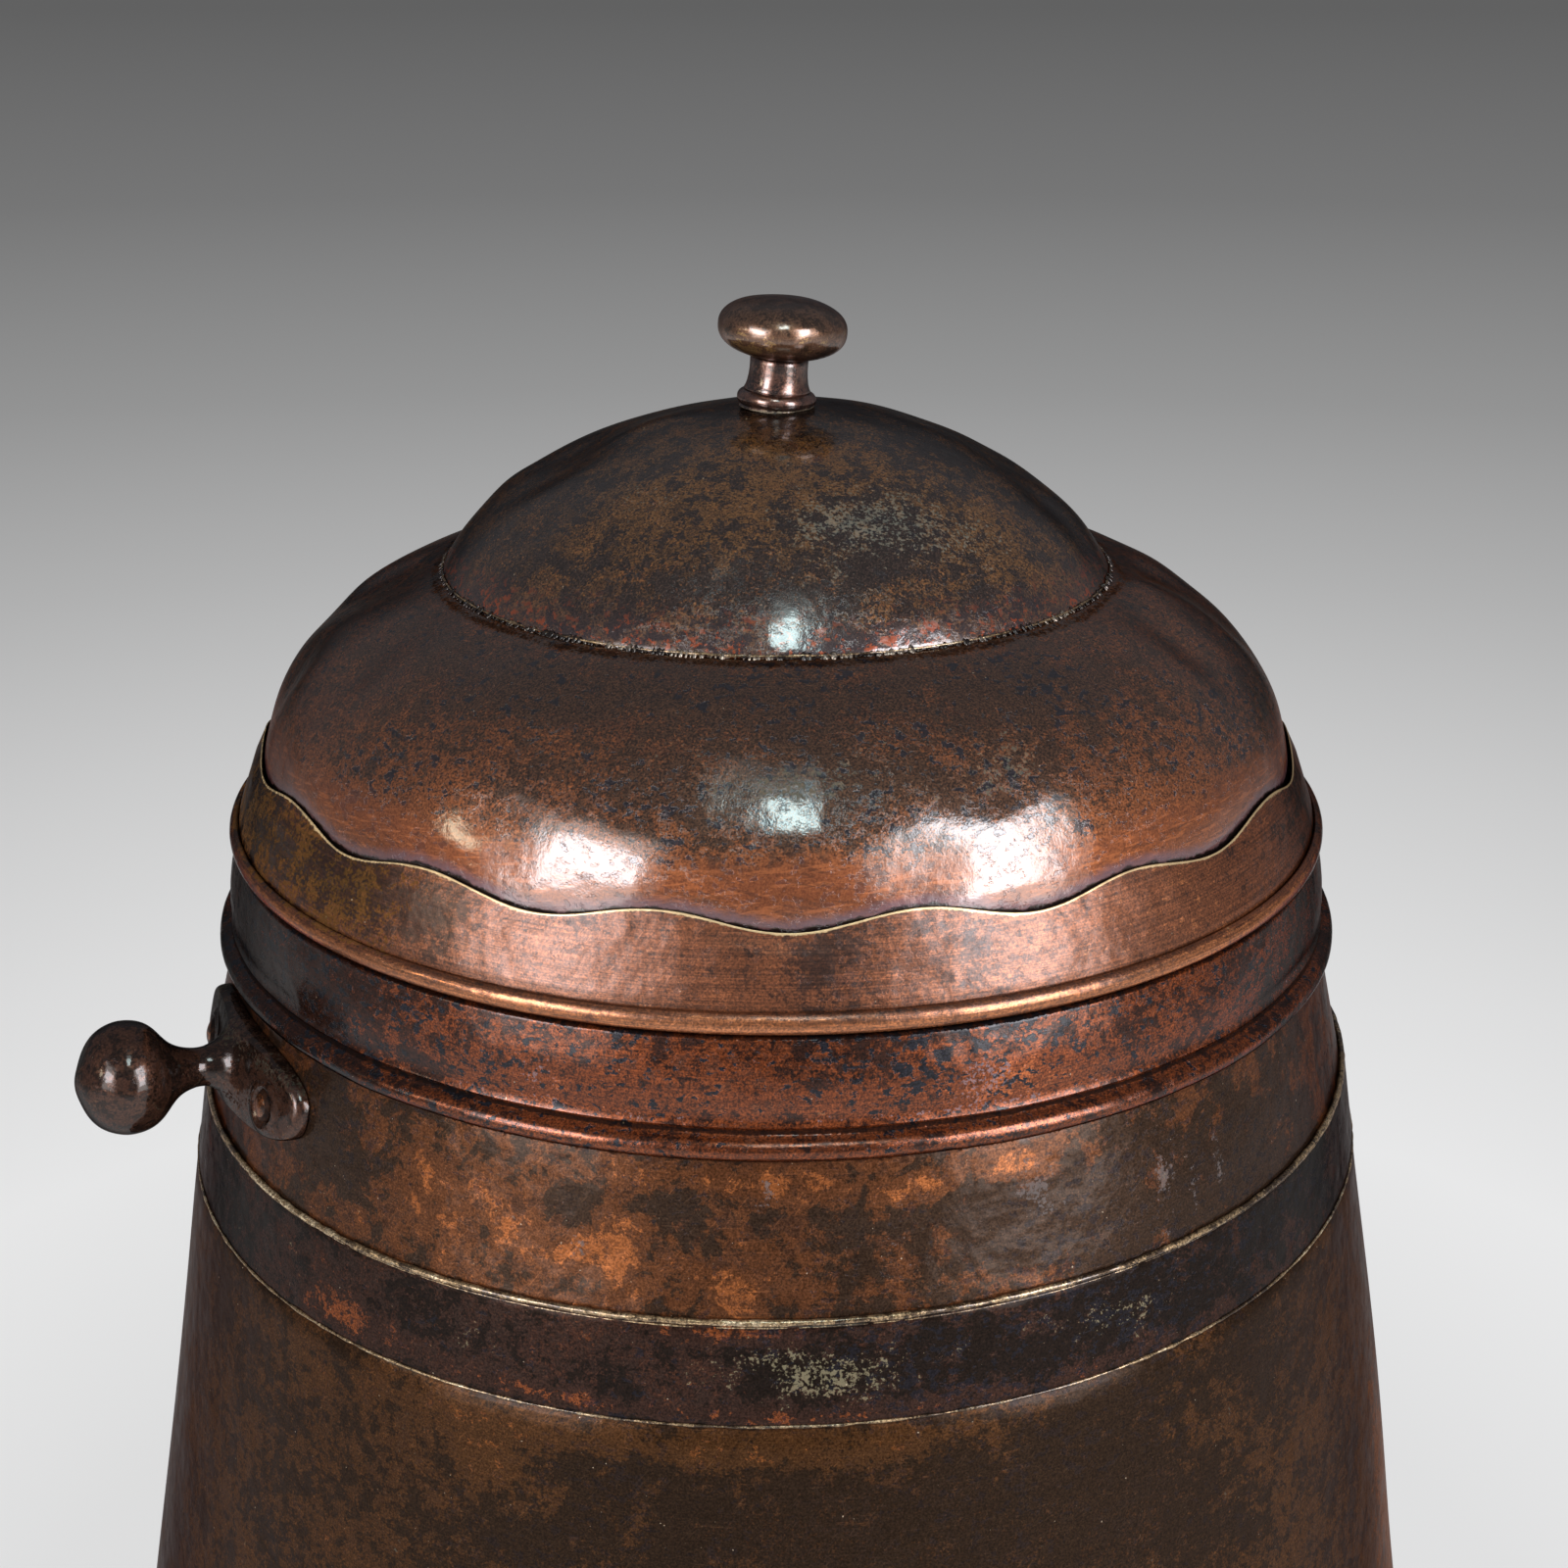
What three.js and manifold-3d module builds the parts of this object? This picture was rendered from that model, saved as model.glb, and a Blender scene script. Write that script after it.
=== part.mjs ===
// A coppersmith's lidded coal bin, in millimetres. +Z is up, the origin is the middle of the ring
// that the bin stands on, and the side shown to the room is -Y.
// Sheet pieces are turned from the outline of one face and the thickness of the sheet.

import * as THREE from 'three';
import { mergeVertices } from 'three/addons/utils/BufferGeometryUtils.js';
import Module from 'manifold-3d';

const wasm = await Module();
wasm.setup();

// Driving sizes of the whole bin
const mouthHeight = 360;
const collarHeight = 34.8;
const waistDepth = 90;
const neckWallRadius = 173.1;
const mouthTaperWidth = 5.3;
const waistFlareWidth = 13.9;
const footFlareWidth = 44.5;
const wallThickness = 1.4;
const seatGap = 0.3;

// Rounding of the turned pieces
const roundSegments = 40;
const knobSegments = 20;
const handleSegments = 14;
const segmentsPerWave = 5;
const wireSides = 5;
const curlSegments = 7;
const curlStartDegrees = 108;
const curlEndDegrees = 432;

// Foot: the wall is rolled outwards round an iron ring
const footWireRadius = 3;

// Base plate, let in above the foot with its edge turned down
const baseThickness = 1.4;
const baseHeight = 20;
const baseFlangeHeight = 9;

// Strap round the waist, flush with the wall below it and standing over the wall above
const strapThickness = 1.4;
const strapLowerHeight = 13;
const strapUpperHeight = 14;
const strapJoggle = 3;

// Collar round the mouth: a swaged bead, a groove, a swelling band and a ledge turned in at the top
const collarThickness = 1.2;
const collarBeadRadius = 3.3;
const collarBeadStand = 0.2;
const collarBeadRise = 5;
const collarBeadStartDegrees = -90;
const collarBeadEndDegrees = 70;
const collarBeadSegments = 5;
const collarGrooveDepth = 1.1;
const collarGrooveRise = 4.6;
const collarBandInset = 0.8;
const collarBandShare = 0.25;
const collarTopStand = 1.8;
const collarTopRounding = 1.2;
const collarBackEase = 1.1;

// Lid skirt: a band with a waved top edge and its bottom edge rolled outwards round a wire
const skirtThickness = 1.2;
const skirtWireRadius = 1.9;
const skirtTopStand = 1.25;
const skirtTopRise = 26.95;
const waveCount = 15;
const waveHeight = 2.25;
const waveTurnDegrees = 1;

// Lid shoulder: an elliptical swelling over a straight spigot that drops into the mouth
const lidThickness = 1.2;
const shoulderCentreRadius = 81.2;
const shoulderCentreRise = 20;
const shoulderInsetWidth = 8.53;
const shoulderHeight = 61.58;
const shoulderEndDegrees = 5;
const shoulderSegments = 7;
const spigotClearance = 0.7;
const spigotTopRise = 8;
const spigotDrop = 15;

// Lid crown: a smaller elliptical dome, lapped over an upturned flange of the shoulder
const crownOverhangWidth = 8;
const crownHeight = 76.2;
const seamRadius = 102.2;
const seamLap = 6;
const seamEase = 0.6;
const seamStand = 0.3;
const crownSegments = 6;
const crownTrimSegments = 18;

// Knob: a mushroom head on a turned pedestal, held by a stud from inside the lid
const knobLeanDegrees = 4.5;
const headRadius = 19.5;
const headHalfHeight = 9.2;
const headFootRadius = 8.4;
const headSegments = 9;
const pedestalHeight = 14.7;
const pedestalTopRadius = 8.1;
const pedestalWaistRadius = 9;
const pedestalWaistHeight = 6;
const pedestalFootRadius = 11.4;
const pedestalFootHeight = 2.4;
const pedestalFootSegments = 5;
const pedestalFootStartDegrees = -30;
const studRadius = 3;
const studLift = 9;
const studDrop = 9;
const studEase = 0.9;
const washerRadius = 8;
const washerThickness = 2.4;
const nutRadius = 6.2;
const nutThickness = 4;
const nutSides = 6;

// Side handles: a cast ball, its neck and a plate bent to the wall
const leftHandleDegrees = 208.1;
const rightHandleDegrees = 29.5;
const handleDepth = 16;
const handleTiltDegrees = 5;
const plateHalfLength = 43;
const plateHalfHeight = 12.8;
const plateThickness = 4;
const plateCornerPower = 2.8;
const plateSegments = 28;
const plateBlankDepth = 24;
const ballReach = 36.2;
const ballRadius = 16.2;
const ballOuterLength = 13.9;
const ballOuterSegments = 4;
const neckRadius = 5.5;
const neckShares = [[0.14, 2.1], [0.17, 1.62], [0.23, 1.28], [0.31, 1.07], [0.42, 1], [0.51, 1.12]];
const pearShares = [[0.59, 0.47], [0.7, 0.69], [0.78, 0.84], [0.87, 0.95]];

// Rivets of the handle plates, each closed over a burr inside the wall
const rivetReach = 26;
const rivetDepth = 2.7;
const rivetRadius = 2.6;
const rivetHeadRadius = 5;
const rivetHeadHeight = 2.6;
const rivetTailRadius = 4.3;
const rivetTailHeight = 1.9;
const rivetSegments = 10;
const rivetDomeSegments = 3;
const burrRadius = 6;
const burrThickness = 1.2;

// Finishes, as seen on the old copper
const finishes = {
  darkCopper: { color: 0x4a2f24, roughness: 0.42, metalness: 1 },
  brownCopper: { color: 0x5c3826, roughness: 0.38, metalness: 1 },
  bandCopper: { color: 0x7a452c, roughness: 0.34, metalness: 1 },
  strapCopper: { color: 0x33241c, roughness: 0.5, metalness: 1 },
  bronze: { color: 0x4b3223, roughness: 0.28, metalness: 1 },
  iron: { color: 0x3a3733, roughness: 0.6, metalness: 1 },
};

const quarterTurn = Math.PI / 2;
const fullTurn = Math.PI * 2;
const overrun = 8;
const topDegrees = 90;
const fullDegrees = 360;
const radians = THREE.MathUtils.degToRad;
const waistHeight = mouthHeight - waistDepth;
const neckHeight = mouthHeight - collarHeight;
const mouthWallRadius = neckWallRadius - mouthTaperWidth;
const waistWallRadius = neckWallRadius + waistFlareWidth;
const footWallRadius = waistWallRadius + footFlareWidth;
const facetSag = neckWallRadius * (1 - Math.cos(Math.PI / roundSegments));

// Outlines in the half plane of radius and height

function arc(centre, width, height, fromDegrees, toDegrees, segments) {
  const points = [];
  for (let i = 0; i <= segments; i += 1) {
    const angle = radians(fromDegrees + ((toDegrees - fromDegrees) * i) / segments);
    points.push([centre[0] + width * Math.cos(angle), centre[1] + height * Math.sin(angle)]);
  }
  return points;
}

// Closes a sheet: the face that is given, and the other face a thickness to the left of its way.
function sheet(face, thickness) {
  const ways = face.slice(1).map((point, i) => {
    const run = [point[0] - face[i][0], point[1] - face[i][1]];
    const length = Math.hypot(run[0], run[1]);
    return [run[0] / length, run[1] / length];
  });
  const back = face.map((point, i) => {
    const before = ways[Math.max(i - 1, 0)];
    const after = ways[Math.min(i, ways.length - 1)];
    const turn = 1 + before[0] * after[0] + before[1] * after[1];
    const left = [-(before[1] + after[1]) / turn, (before[0] + after[0]) / turn];
    return [Math.max(point[0] + left[0] * thickness, 0), point[1] + left[1] * thickness];
  });
  return [...face, ...back.reverse()];
}

// Turns a closed outline, or one that starts and ends on the axis, about +Z.
function turned(outline, segments = roundSegments) {
  let area = 0;
  outline.forEach((point, i) => {
    const next = outline[(i + 1) % outline.length];
    area += point[0] * next[1] - next[0] * point[1];
  });
  const points = area > 0 ? [...outline] : [...outline].reverse();
  const touchesAxis = points.filter((point) => point[0] === 0).length > 1;
  if (touchesAxis) {
    while (!(points[0][0] === 0 && points[points.length - 1][0] === 0)) {
      points.push(points.shift());
    }
  } else {
    points.push(points[0]);
  }
  const profile = points.map((point) => new THREE.Vector2(point[0], point[1]));
  return new THREE.LatheGeometry(profile, segments).rotateX(quarterTurn);
}

// Cutting and joining of closed meshes

function solid(geometry) {
  const bare = geometry.clone();
  bare.deleteAttribute('normal');
  bare.deleteAttribute('uv');
  const merged = mergeVertices(bare);
  return new wasm.Manifold(new wasm.Mesh({
    numProp: 3,
    vertProperties: new Float32Array(merged.attributes.position.array),
    triVerts: new Uint32Array(merged.index.array),
  }));
}

function surface(body) {
  const mesh = body.getMesh();
  const geometry = new THREE.BufferGeometry();
  geometry.setAttribute('position', new THREE.BufferAttribute(mesh.vertProperties, 3));
  geometry.setIndex(new THREE.BufferAttribute(mesh.triVerts, 1));
  geometry.computeVertexNormals();
  return geometry;
}

const bin = new THREE.Group();
const lid = new THREE.Group();
const knob = new THREE.Group();
const coalBin = new THREE.Group();

function add(group, name, geometry, finish) {
  const piece = new THREE.Mesh(geometry, new THREE.MeshStandardMaterial(finishes[finish]));
  piece.name = name;
  group.add(piece);
  return piece;
}

// A sheet edge rolled outwards round a wire: the face starts at the inner side of the sheet.
function curlFace(centre, radius) {
  return arc(centre, radius, radius, curlStartDegrees, curlEndDegrees, curlSegments);
}

function wireRing(centre, wireRadius, segments) {
  const section = arc(centre, wireRadius, wireRadius, 0, fullDegrees, wireSides);
  return turned(section.slice(1), segments);
}

// Lower wall and foot

const facetShare = Math.cos(radians((curlEndDegrees - curlStartDegrees) / curlSegments / 2));
const footCurlRadius = (footWireRadius + seatGap + wallThickness) / facetShare;
const footCentre = [footWallRadius, footCurlRadius * facetShare];
const wallSlope = (waistWallRadius - footWallRadius) / (waistHeight - footCentre[1]);
const strapOffset = strapThickness + seatGap;
const strapBottom = waistHeight - strapLowerHeight;
const strapTop = waistHeight + strapUpperHeight;

function lowerWallRadius(height) {
  return footWallRadius + wallSlope * (height - footCentre[1]);
}

const lowerWallFace = [
  [lowerWallRadius(waistHeight) - strapOffset - wallThickness, waistHeight - seatGap / 2],
  [lowerWallRadius(strapBottom) - strapOffset - wallThickness, strapBottom],
  [lowerWallRadius(strapBottom) - wallThickness, strapBottom - strapJoggle],
  ...curlFace(footCentre, footCurlRadius),
];
add(bin, 'lower_wall', turned(sheet(lowerWallFace, wallThickness)), 'brownCopper');
add(bin, 'foot_wire', wireRing(footCentre, footWireRadius, roundSegments), 'iron');

// Base plate

function insideWallRadius(height) {
  return lowerWallRadius(height) - wallThickness - 2 * seatGap;
}

const baseFace = [
  [insideWallRadius(baseFlangeHeight), baseFlangeHeight],
  [insideWallRadius(baseHeight), baseHeight],
  [0, baseHeight],
];
add(bin, 'base_plate', turned(sheet(baseFace, baseThickness)), 'darkCopper');

// Upper wall: it flares from the mouth down to the waist

const collarBeadHeight = neckHeight + collarBeadRise;
const collarGrooveHeight = collarBeadHeight + collarGrooveRise;
const collarGrooveRadius = neckWallRadius - collarGrooveDepth;
const upperWallFace = [
  [lowerWallRadius(waistHeight) - strapOffset, waistHeight + seatGap / 2],
  [lowerWallRadius(strapTop) - strapOffset, strapTop],
  [neckWallRadius, neckHeight],
  [collarGrooveRadius - collarThickness - collarBackEase, collarGrooveHeight],
  [mouthWallRadius, mouthHeight - collarThickness - 2 * seatGap],
];

// The wall grown outwards by a clearance, as a full body that trims what is bent to the wall.
function upperWallBody(clearance) {
  const grown = upperWallFace.map((point) => [point[0] + clearance, point[1]]);
  return turned([[0, grown[0][1]], ...grown, [0, grown[grown.length - 1][1]]]);
}

const upperWall = solid(turned(sheet(upperWallFace, wallThickness)));

// Waist strap

const strapFace = [
  [lowerWallRadius(strapBottom + seatGap), strapBottom + seatGap],
  [lowerWallRadius(strapTop), strapTop],
];
add(bin, 'waist_strap', turned(sheet(strapFace, strapThickness)), 'strapCopper');

// Collar

const collarTop = mouthHeight - seatGap;
const collarTopRadius = mouthWallRadius + collarTopStand;
const collarFace = [
  ...arc([neckWallRadius + collarBeadStand, collarBeadHeight], collarBeadRadius, collarBeadRadius,
    collarBeadStartDegrees, collarBeadEndDegrees, collarBeadSegments),
  [collarGrooveRadius, collarGrooveHeight],
  [
    neckWallRadius - collarBandInset,
    collarGrooveHeight + collarBandShare * (collarTop - collarGrooveHeight),
  ],
  [collarTopRadius, collarTop - collarTopRounding],
  [collarTopRadius - collarTopRounding, collarTop],
  [mouthWallRadius - wallThickness - seatGap, collarTop],
];
add(bin, 'mouth_collar', turned(sheet(collarFace, collarThickness)), 'bandCopper');

// Side handles, turned on the axis of the neck, trimmed by the wall and set round the bin

const handleTilt = radians(handleTiltDegrees);
const handleHeight = neckHeight - handleDepth;
const rivetHeight = handleHeight - rivetDepth;
const neckSlope = (neckWallRadius - (lowerWallRadius(strapTop) - strapOffset))
  / (neckHeight - strapTop);

function flaredWallRadius(height) {
  return neckWallRadius + neckSlope * (height - neckHeight);
}

// Lays a piece made along +Z on the outward way at a place of the wall, then turns it round the bin.
function onWall(geometry, height, tilt, azimuth) {
  return geometry
    .rotateY(quarterTurn - tilt)
    .translate(flaredWallRadius(height), 0, height)
    .rotateZ(azimuth);
}

function plateOutline() {
  const shape = new THREE.Shape();
  for (let i = 0; i < plateSegments; i += 1) {
    const angle = (fullTurn * i) / plateSegments;
    const x = Math.cos(angle);
    const y = Math.sin(angle);
    const u = Math.sign(x) * Math.abs(x) ** (2 / plateCornerPower) * plateHalfHeight;
    const v = Math.sign(y) * Math.abs(y) ** (2 / plateCornerPower) * plateHalfLength;
    if (i === 0) shape.moveTo(u, v);
    else shape.lineTo(u, v);
  }
  return shape;
}

function handleTurning() {
  const neck = neckShares.map(([reach, width]) => [width * neckRadius, reach * ballReach]);
  const pear = pearShares.map(([reach, width]) => [width * ballRadius, reach * ballReach]);
  const ball = arc([0, ballReach], ballRadius, ballOuterLength, 0, topDegrees,
    ballOuterSegments);
  ball[ball.length - 1][0] = 0;
  return [[0, -overrun], [neck[0][0], -overrun], ...neck, ...pear, ...ball];
}

function rivetHole(azimuth) {
  const hole = new THREE.CylinderGeometry(rivetRadius + seatGap, rivetRadius + seatGap,
    2 * (plateThickness + overrun), rivetSegments).rotateX(quarterTurn);
  return solid(onWall(hole, rivetHeight, rivetTilt, azimuth));
}

const rivetTilt = Math.atan(-neckSlope);
const rivetSpread = rivetReach / flaredWallRadius(rivetHeight);
const plateOuterLimit = solid(upperWallBody(seatGap + plateThickness));
const wallClearance = solid(upperWallBody(seatGap));

function handleSolid(azimuth) {
  const plate = new THREE.ExtrudeGeometry(plateOutline(),
    { depth: plateThickness + plateBlankDepth + overrun, bevelEnabled: false });
  plate.translate(0, 0, -plateBlankDepth);
  const turning = turned(handleTurning(), handleSegments);
  let body = solid(onWall(plate, handleHeight, handleTilt, azimuth)).intersect(plateOuterLimit);
  body = body.add(solid(onWall(turning, handleHeight, handleTilt, azimuth)));
  body = body.subtract(wallClearance);
  for (const side of [-1, 1]) {
    body = body.subtract(rivetHole(azimuth + side * rivetSpread));
  }
  return body;
}

// Rivets and burrs are turned on their own axis, from the tail inside to the head outside

const plateFaceReach = plateThickness + 2 * seatGap;
const burrReach = wallThickness + facetSag + seatGap;
const tailReach = burrReach + burrThickness + seatGap;

function rivetTurning() {
  const head = arc([0, plateFaceReach], rivetHeadRadius, rivetHeadHeight, 0,
    topDegrees, rivetDomeSegments);
  head[head.length - 1][0] = 0;
  const tail = arc([0, -tailReach], rivetTailRadius, rivetTailHeight,
    -topDegrees, 0, rivetDomeSegments);
  tail[0][0] = 0;
  return [...tail, [rivetRadius, -tailReach], [rivetRadius, plateFaceReach], ...head];
}

function burrTurning() {
  const hole = rivetRadius + seatGap;
  return [
    [hole, -burrReach - burrThickness],
    [burrRadius, -burrReach - burrThickness],
    [burrRadius, -burrReach],
    [hole, -burrReach],
  ];
}

let drilledWall = upperWall;
const handleSides = [
  { side: 'left', azimuth: radians(leftHandleDegrees) },
  { side: 'right', azimuth: radians(rightHandleDegrees) },
];
for (const { side, azimuth } of handleSides) {
  add(bin, `handle_${side}`, surface(handleSolid(azimuth)), 'bronze');
  for (const [place, way] of [['front', 1], ['back', -1]]) {
    const turn = azimuth + way * rivetSpread * (side === 'left' ? 1 : -1);
    const rivet = turned(rivetTurning(), rivetSegments);
    const burr = turned(burrTurning(), rivetSegments);
    drilledWall = drilledWall.subtract(rivetHole(turn));
    add(bin, `rivet_${side}_${place}`, onWall(rivet, rivetHeight, rivetTilt, turn), 'bronze');
    add(bin, `burr_${side}_${place}`, onWall(burr, rivetHeight, rivetTilt, turn), 'darkCopper');
  }
}
add(bin, 'upper_wall', surface(drilledWall), 'darkCopper');

// Lid skirt, with its top edge raised and lowered along the lean of the band

const skirtCurlRadius = (skirtWireRadius + seatGap + skirtThickness) / facetShare;
const skirtCentre = [mouthWallRadius, mouthHeight + skirtCurlRadius * facetShare];
const skirtTop = mouthHeight + skirtTopRise;
const shoulderWidth = mouthWallRadius - shoulderInsetWidth - shoulderCentreRadius;
const skirtTopRadius = shoulderCentreRadius + shoulderWidth + skirtTopStand;
const skirtLean = (skirtTopRadius - skirtCentre[0]) / (skirtTop - skirtCentre[1]);
const waveSegments = waveCount * segmentsPerWave;
const skirtFace = [
  [skirtTopRadius - skirtThickness, skirtTop],
  ...curlFace(skirtCentre, skirtCurlRadius),
];

function waved(geometry) {
  const place = geometry.attributes.position;
  for (let i = 0; i < place.count; i += 1) {
    const x = place.getX(i);
    const y = place.getY(i);
    const rise = place.getZ(i) - skirtCentre[1] - skirtCurlRadius;
    if (rise > 0) {
      const share = Math.min(rise / (skirtTop - skirtCentre[1] - skirtCurlRadius), 1);
      const turn = Math.atan2(x, -y) - radians(waveTurnDegrees);
      const lift = -waveHeight * Math.cos(waveCount * turn) * share;
      const radius = Math.hypot(x, y);
      const grown = (radius + skirtLean * lift) / radius;
      place.setXYZ(i, x * grown, y * grown, place.getZ(i) + lift);
    }
  }
  return geometry;
}

add(lid, 'lid_skirt', waved(turned(sheet(skirtFace, skirtThickness), waveSegments)),
  'bandCopper');
add(lid, 'rim_wire', wireRing(skirtCentre, skirtWireRadius, waveSegments), 'iron');

// Lid crown, seated on the shoulder at the seam

const shoulderCentre = [shoulderCentreRadius, mouthHeight + shoulderCentreRise];
const shoulderSeamDegrees = THREE.MathUtils.radToDeg(
  Math.acos((seamRadius + seamEase - shoulderCentreRadius) / shoulderWidth));
const shoulderArc = arc(shoulderCentre, shoulderWidth, shoulderHeight, shoulderEndDegrees,
  shoulderSeamDegrees, shoulderSegments);
const crownWidth = seamRadius + crownOverhangWidth;
const seamHeight = shoulderArc[shoulderSegments][1] + seamStand;
const crownCentre = seamHeight - crownHeight * Math.sqrt(1 - (seamRadius / crownWidth) ** 2);
const crownTop = crownCentre + crownHeight;
const crownFace = arc([0, crownCentre], crownWidth, crownHeight,
  THREE.MathUtils.radToDeg(Math.acos(seamRadius / crownWidth)),
  THREE.MathUtils.radToDeg(Math.acos((studRadius + studEase) / crownWidth)), crownSegments);
add(lid, 'lid_crown', turned(sheet(crownFace, lidThickness)), 'darkCopper');

// Lid shoulder: its top flange stands inside the crown, as the lapped half of the brazed seam

const lapInset = lidThickness + seatGap;
const seamWay = new THREE.Vector2(crownFace[1][0] - crownFace[0][0],
  crownFace[1][1] - crownFace[0][1]).normalize();

// A place beside the foot of the crown: along its first face, and a lap inside it.
function besideSeam(along) {
  return [
    crownFace[0][0] + seamWay.x * along - seamWay.y * lapInset,
    crownFace[0][1] + seamWay.y * along + seamWay.x * lapInset,
  ];
}

const spigotRadius = skirtCentre[0] - skirtCurlRadius - spigotClearance;
const shoulderFace = [
  [spigotRadius, mouthHeight - spigotDrop],
  [spigotRadius, mouthHeight + spigotTopRise],
  ...shoulderArc,
  besideSeam(-seamEase),
  besideSeam(seamLap),
];
add(lid, 'lid_shoulder', turned(sheet(shoulderFace, lidThickness)), 'brownCopper');

// Knob, upright here and leaned as one; what touches the crown is trimmed to it

const knobLean = radians(knobLeanDegrees);

function crownBody(inset) {
  const outline = arc([0, crownCentre], crownWidth - inset, crownHeight - inset, 0, topDegrees,
    crownTrimSegments);
  outline[outline.length - 1][0] = 0;
  const body = turned([[0, crownCentre], ...outline]);
  return solid(body.translate(0, 0, -crownTop).rotateY(-knobLean));
}

const boreRadius = studRadius + seatGap;
const headBottom = pedestalHeight + seatGap;
const headCentre = headBottom
  + headHalfHeight * Math.sqrt(1 - (headFootRadius / headRadius) ** 2);
const studTop = pedestalHeight + studLift;
const headFace = arc([0, headCentre], headRadius, headHalfHeight,
  -THREE.MathUtils.radToDeg(Math.acos(headFootRadius / headRadius)), topDegrees, headSegments);
headFace[headFace.length - 1][0] = 0;
add(knob, 'knob_head', turned([
  [0, studTop + seatGap],
  [boreRadius, studTop + seatGap],
  [boreRadius, headBottom],
  ...headFace,
], knobSegments), 'bronze');

const pedestalFoot = arc([pedestalFootRadius - pedestalFootHeight, pedestalFootHeight],
  pedestalFootHeight, pedestalFootHeight, pedestalFootStartDegrees, topDegrees,
  pedestalFootSegments);
const pedestal = solid(turned([
  [boreRadius, -pedestalFootHeight],
  [pedestalFootRadius - seatGap, -pedestalFootHeight],
  ...pedestalFoot,
  [pedestalWaistRadius, pedestalWaistHeight],
  [pedestalTopRadius, pedestalHeight],
  [boreRadius, pedestalHeight],
], knobSegments));
add(knob, 'knob_pedestal', surface(pedestal.subtract(crownBody(-seatGap))), 'bronze');

add(knob, 'knob_stud', turned([
  [0, -lidThickness - studDrop],
  [studRadius, -lidThickness - studDrop],
  [studRadius, studTop],
  [0, studTop],
], rivetSegments), 'iron');

const washer = solid(turned([
  [boreRadius, -lidThickness - washerThickness],
  [washerRadius, -lidThickness - washerThickness],
  [washerRadius, 0],
  [boreRadius, 0],
], knobSegments));
add(knob, 'knob_washer', surface(washer.intersect(crownBody(lidThickness + 2 * seatGap))),
  'darkCopper');

const nutTop = -lidThickness - washerThickness - seatGap;
const nut = new THREE.CylinderGeometry(nutRadius, nutRadius, nutThickness, nutSides)
  .rotateX(quarterTurn).translate(0, 0, nutTop - nutThickness / 2);
const nutBore = new THREE.CylinderGeometry(boreRadius, boreRadius, nutThickness + overrun,
  rivetSegments).rotateX(quarterTurn).translate(0, 0, nutTop - nutThickness / 2);
add(knob, 'knob_nut', surface(solid(nut).subtract(solid(nutBore))), 'iron');

knob.position.z = crownTop;
knob.rotation.y = knobLean;
lid.add(knob);
coalBin.add(bin, lid);

export default coalBin;
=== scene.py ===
import math
import bpy
import numpy as np
from mathutils import Matrix, Vector


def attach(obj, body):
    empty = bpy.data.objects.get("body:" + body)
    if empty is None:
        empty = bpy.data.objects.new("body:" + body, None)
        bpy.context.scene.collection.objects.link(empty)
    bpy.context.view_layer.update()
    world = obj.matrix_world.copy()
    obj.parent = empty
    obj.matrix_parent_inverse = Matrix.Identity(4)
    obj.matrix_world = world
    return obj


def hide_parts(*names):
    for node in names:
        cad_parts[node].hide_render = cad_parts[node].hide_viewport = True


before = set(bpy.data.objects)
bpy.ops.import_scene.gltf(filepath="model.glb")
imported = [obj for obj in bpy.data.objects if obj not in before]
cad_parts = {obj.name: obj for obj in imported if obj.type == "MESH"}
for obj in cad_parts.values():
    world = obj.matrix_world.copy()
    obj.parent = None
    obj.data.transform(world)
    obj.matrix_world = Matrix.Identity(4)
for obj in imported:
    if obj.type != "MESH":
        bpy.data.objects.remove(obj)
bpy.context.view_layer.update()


# Lower wall
# The tapered body of the bin: one copper sheet, brazed up the back in a dovetailed seam. Its top is
# joggled in behind the strap and its foot is rolled outwards round an iron ring.

mm = 0.001
wall_sheet = 1.4 * mm
waist_height = 270 * mm
foot_height = 4.7 * mm
foot_radius = 231.5 * mm
waist_radius = 187 * mm
wall_slope = (waist_radius - foot_radius) / (waist_height - foot_height)


def arc(centre, width, height, start, end, steps):
    """Places (radius, height) on part of an ellipse, from one angle in degrees to another."""
    turn = np.radians(np.linspace(start, end, steps + 1))
    return np.column_stack((centre[0] + width * np.cos(turn), centre[1] + height * np.sin(turn)))


def run(start, end, steps):
    """Evenly spaced places (radius, height) on a straight way, without its end."""
    return np.linspace(start, end, steps + 1)[:-1]


def sheet(face, thickness):
    """The closed outline of a sheet: its given face, and a back to the left of its way.
    Free edges are rounded."""
    face = np.asarray(face, float)
    thickness = np.full(len(face), 1.0) * thickness
    way = np.diff(face, axis=0)
    way /= np.linalg.norm(way, axis=1)[:, None]
    before = np.vstack((way[:1], way))
    after = np.vstack((way, way[-1:]))
    turn = 1 + (before * after).sum(axis=1)
    left = np.column_stack((-(before[:, 1] + after[:, 1]), before[:, 0] + after[:, 0])) / turn[:, None]
    back = face + left * thickness[:, None]
    outline = [face]
    for end, out in ((-1, way[-1]), (0, -way[0])):
        if face[end, 0] > 1 * mm:
            middle = (face[end] + back[end]) / 2
            half = (back[end] - face[end]) / 2 * (1 if end else -1)
            outline.append([middle - half * math.cos(a) + out * thickness[end] / 2 * math.sin(a)
                            for a in np.radians((35, 70, 110, 145))])
        if end:
            outline.append(back[::-1])
    outline = np.vstack(outline)
    outline[:, 0] = np.maximum(outline[:, 0], 0)
    return outline


def smooth(piece):
    """Shades a piece smoothly, but for its corners."""
    piece.data.shade_smooth()
    piece.data.set_sharp_from_angle(angle=math.radians(50))


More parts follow.
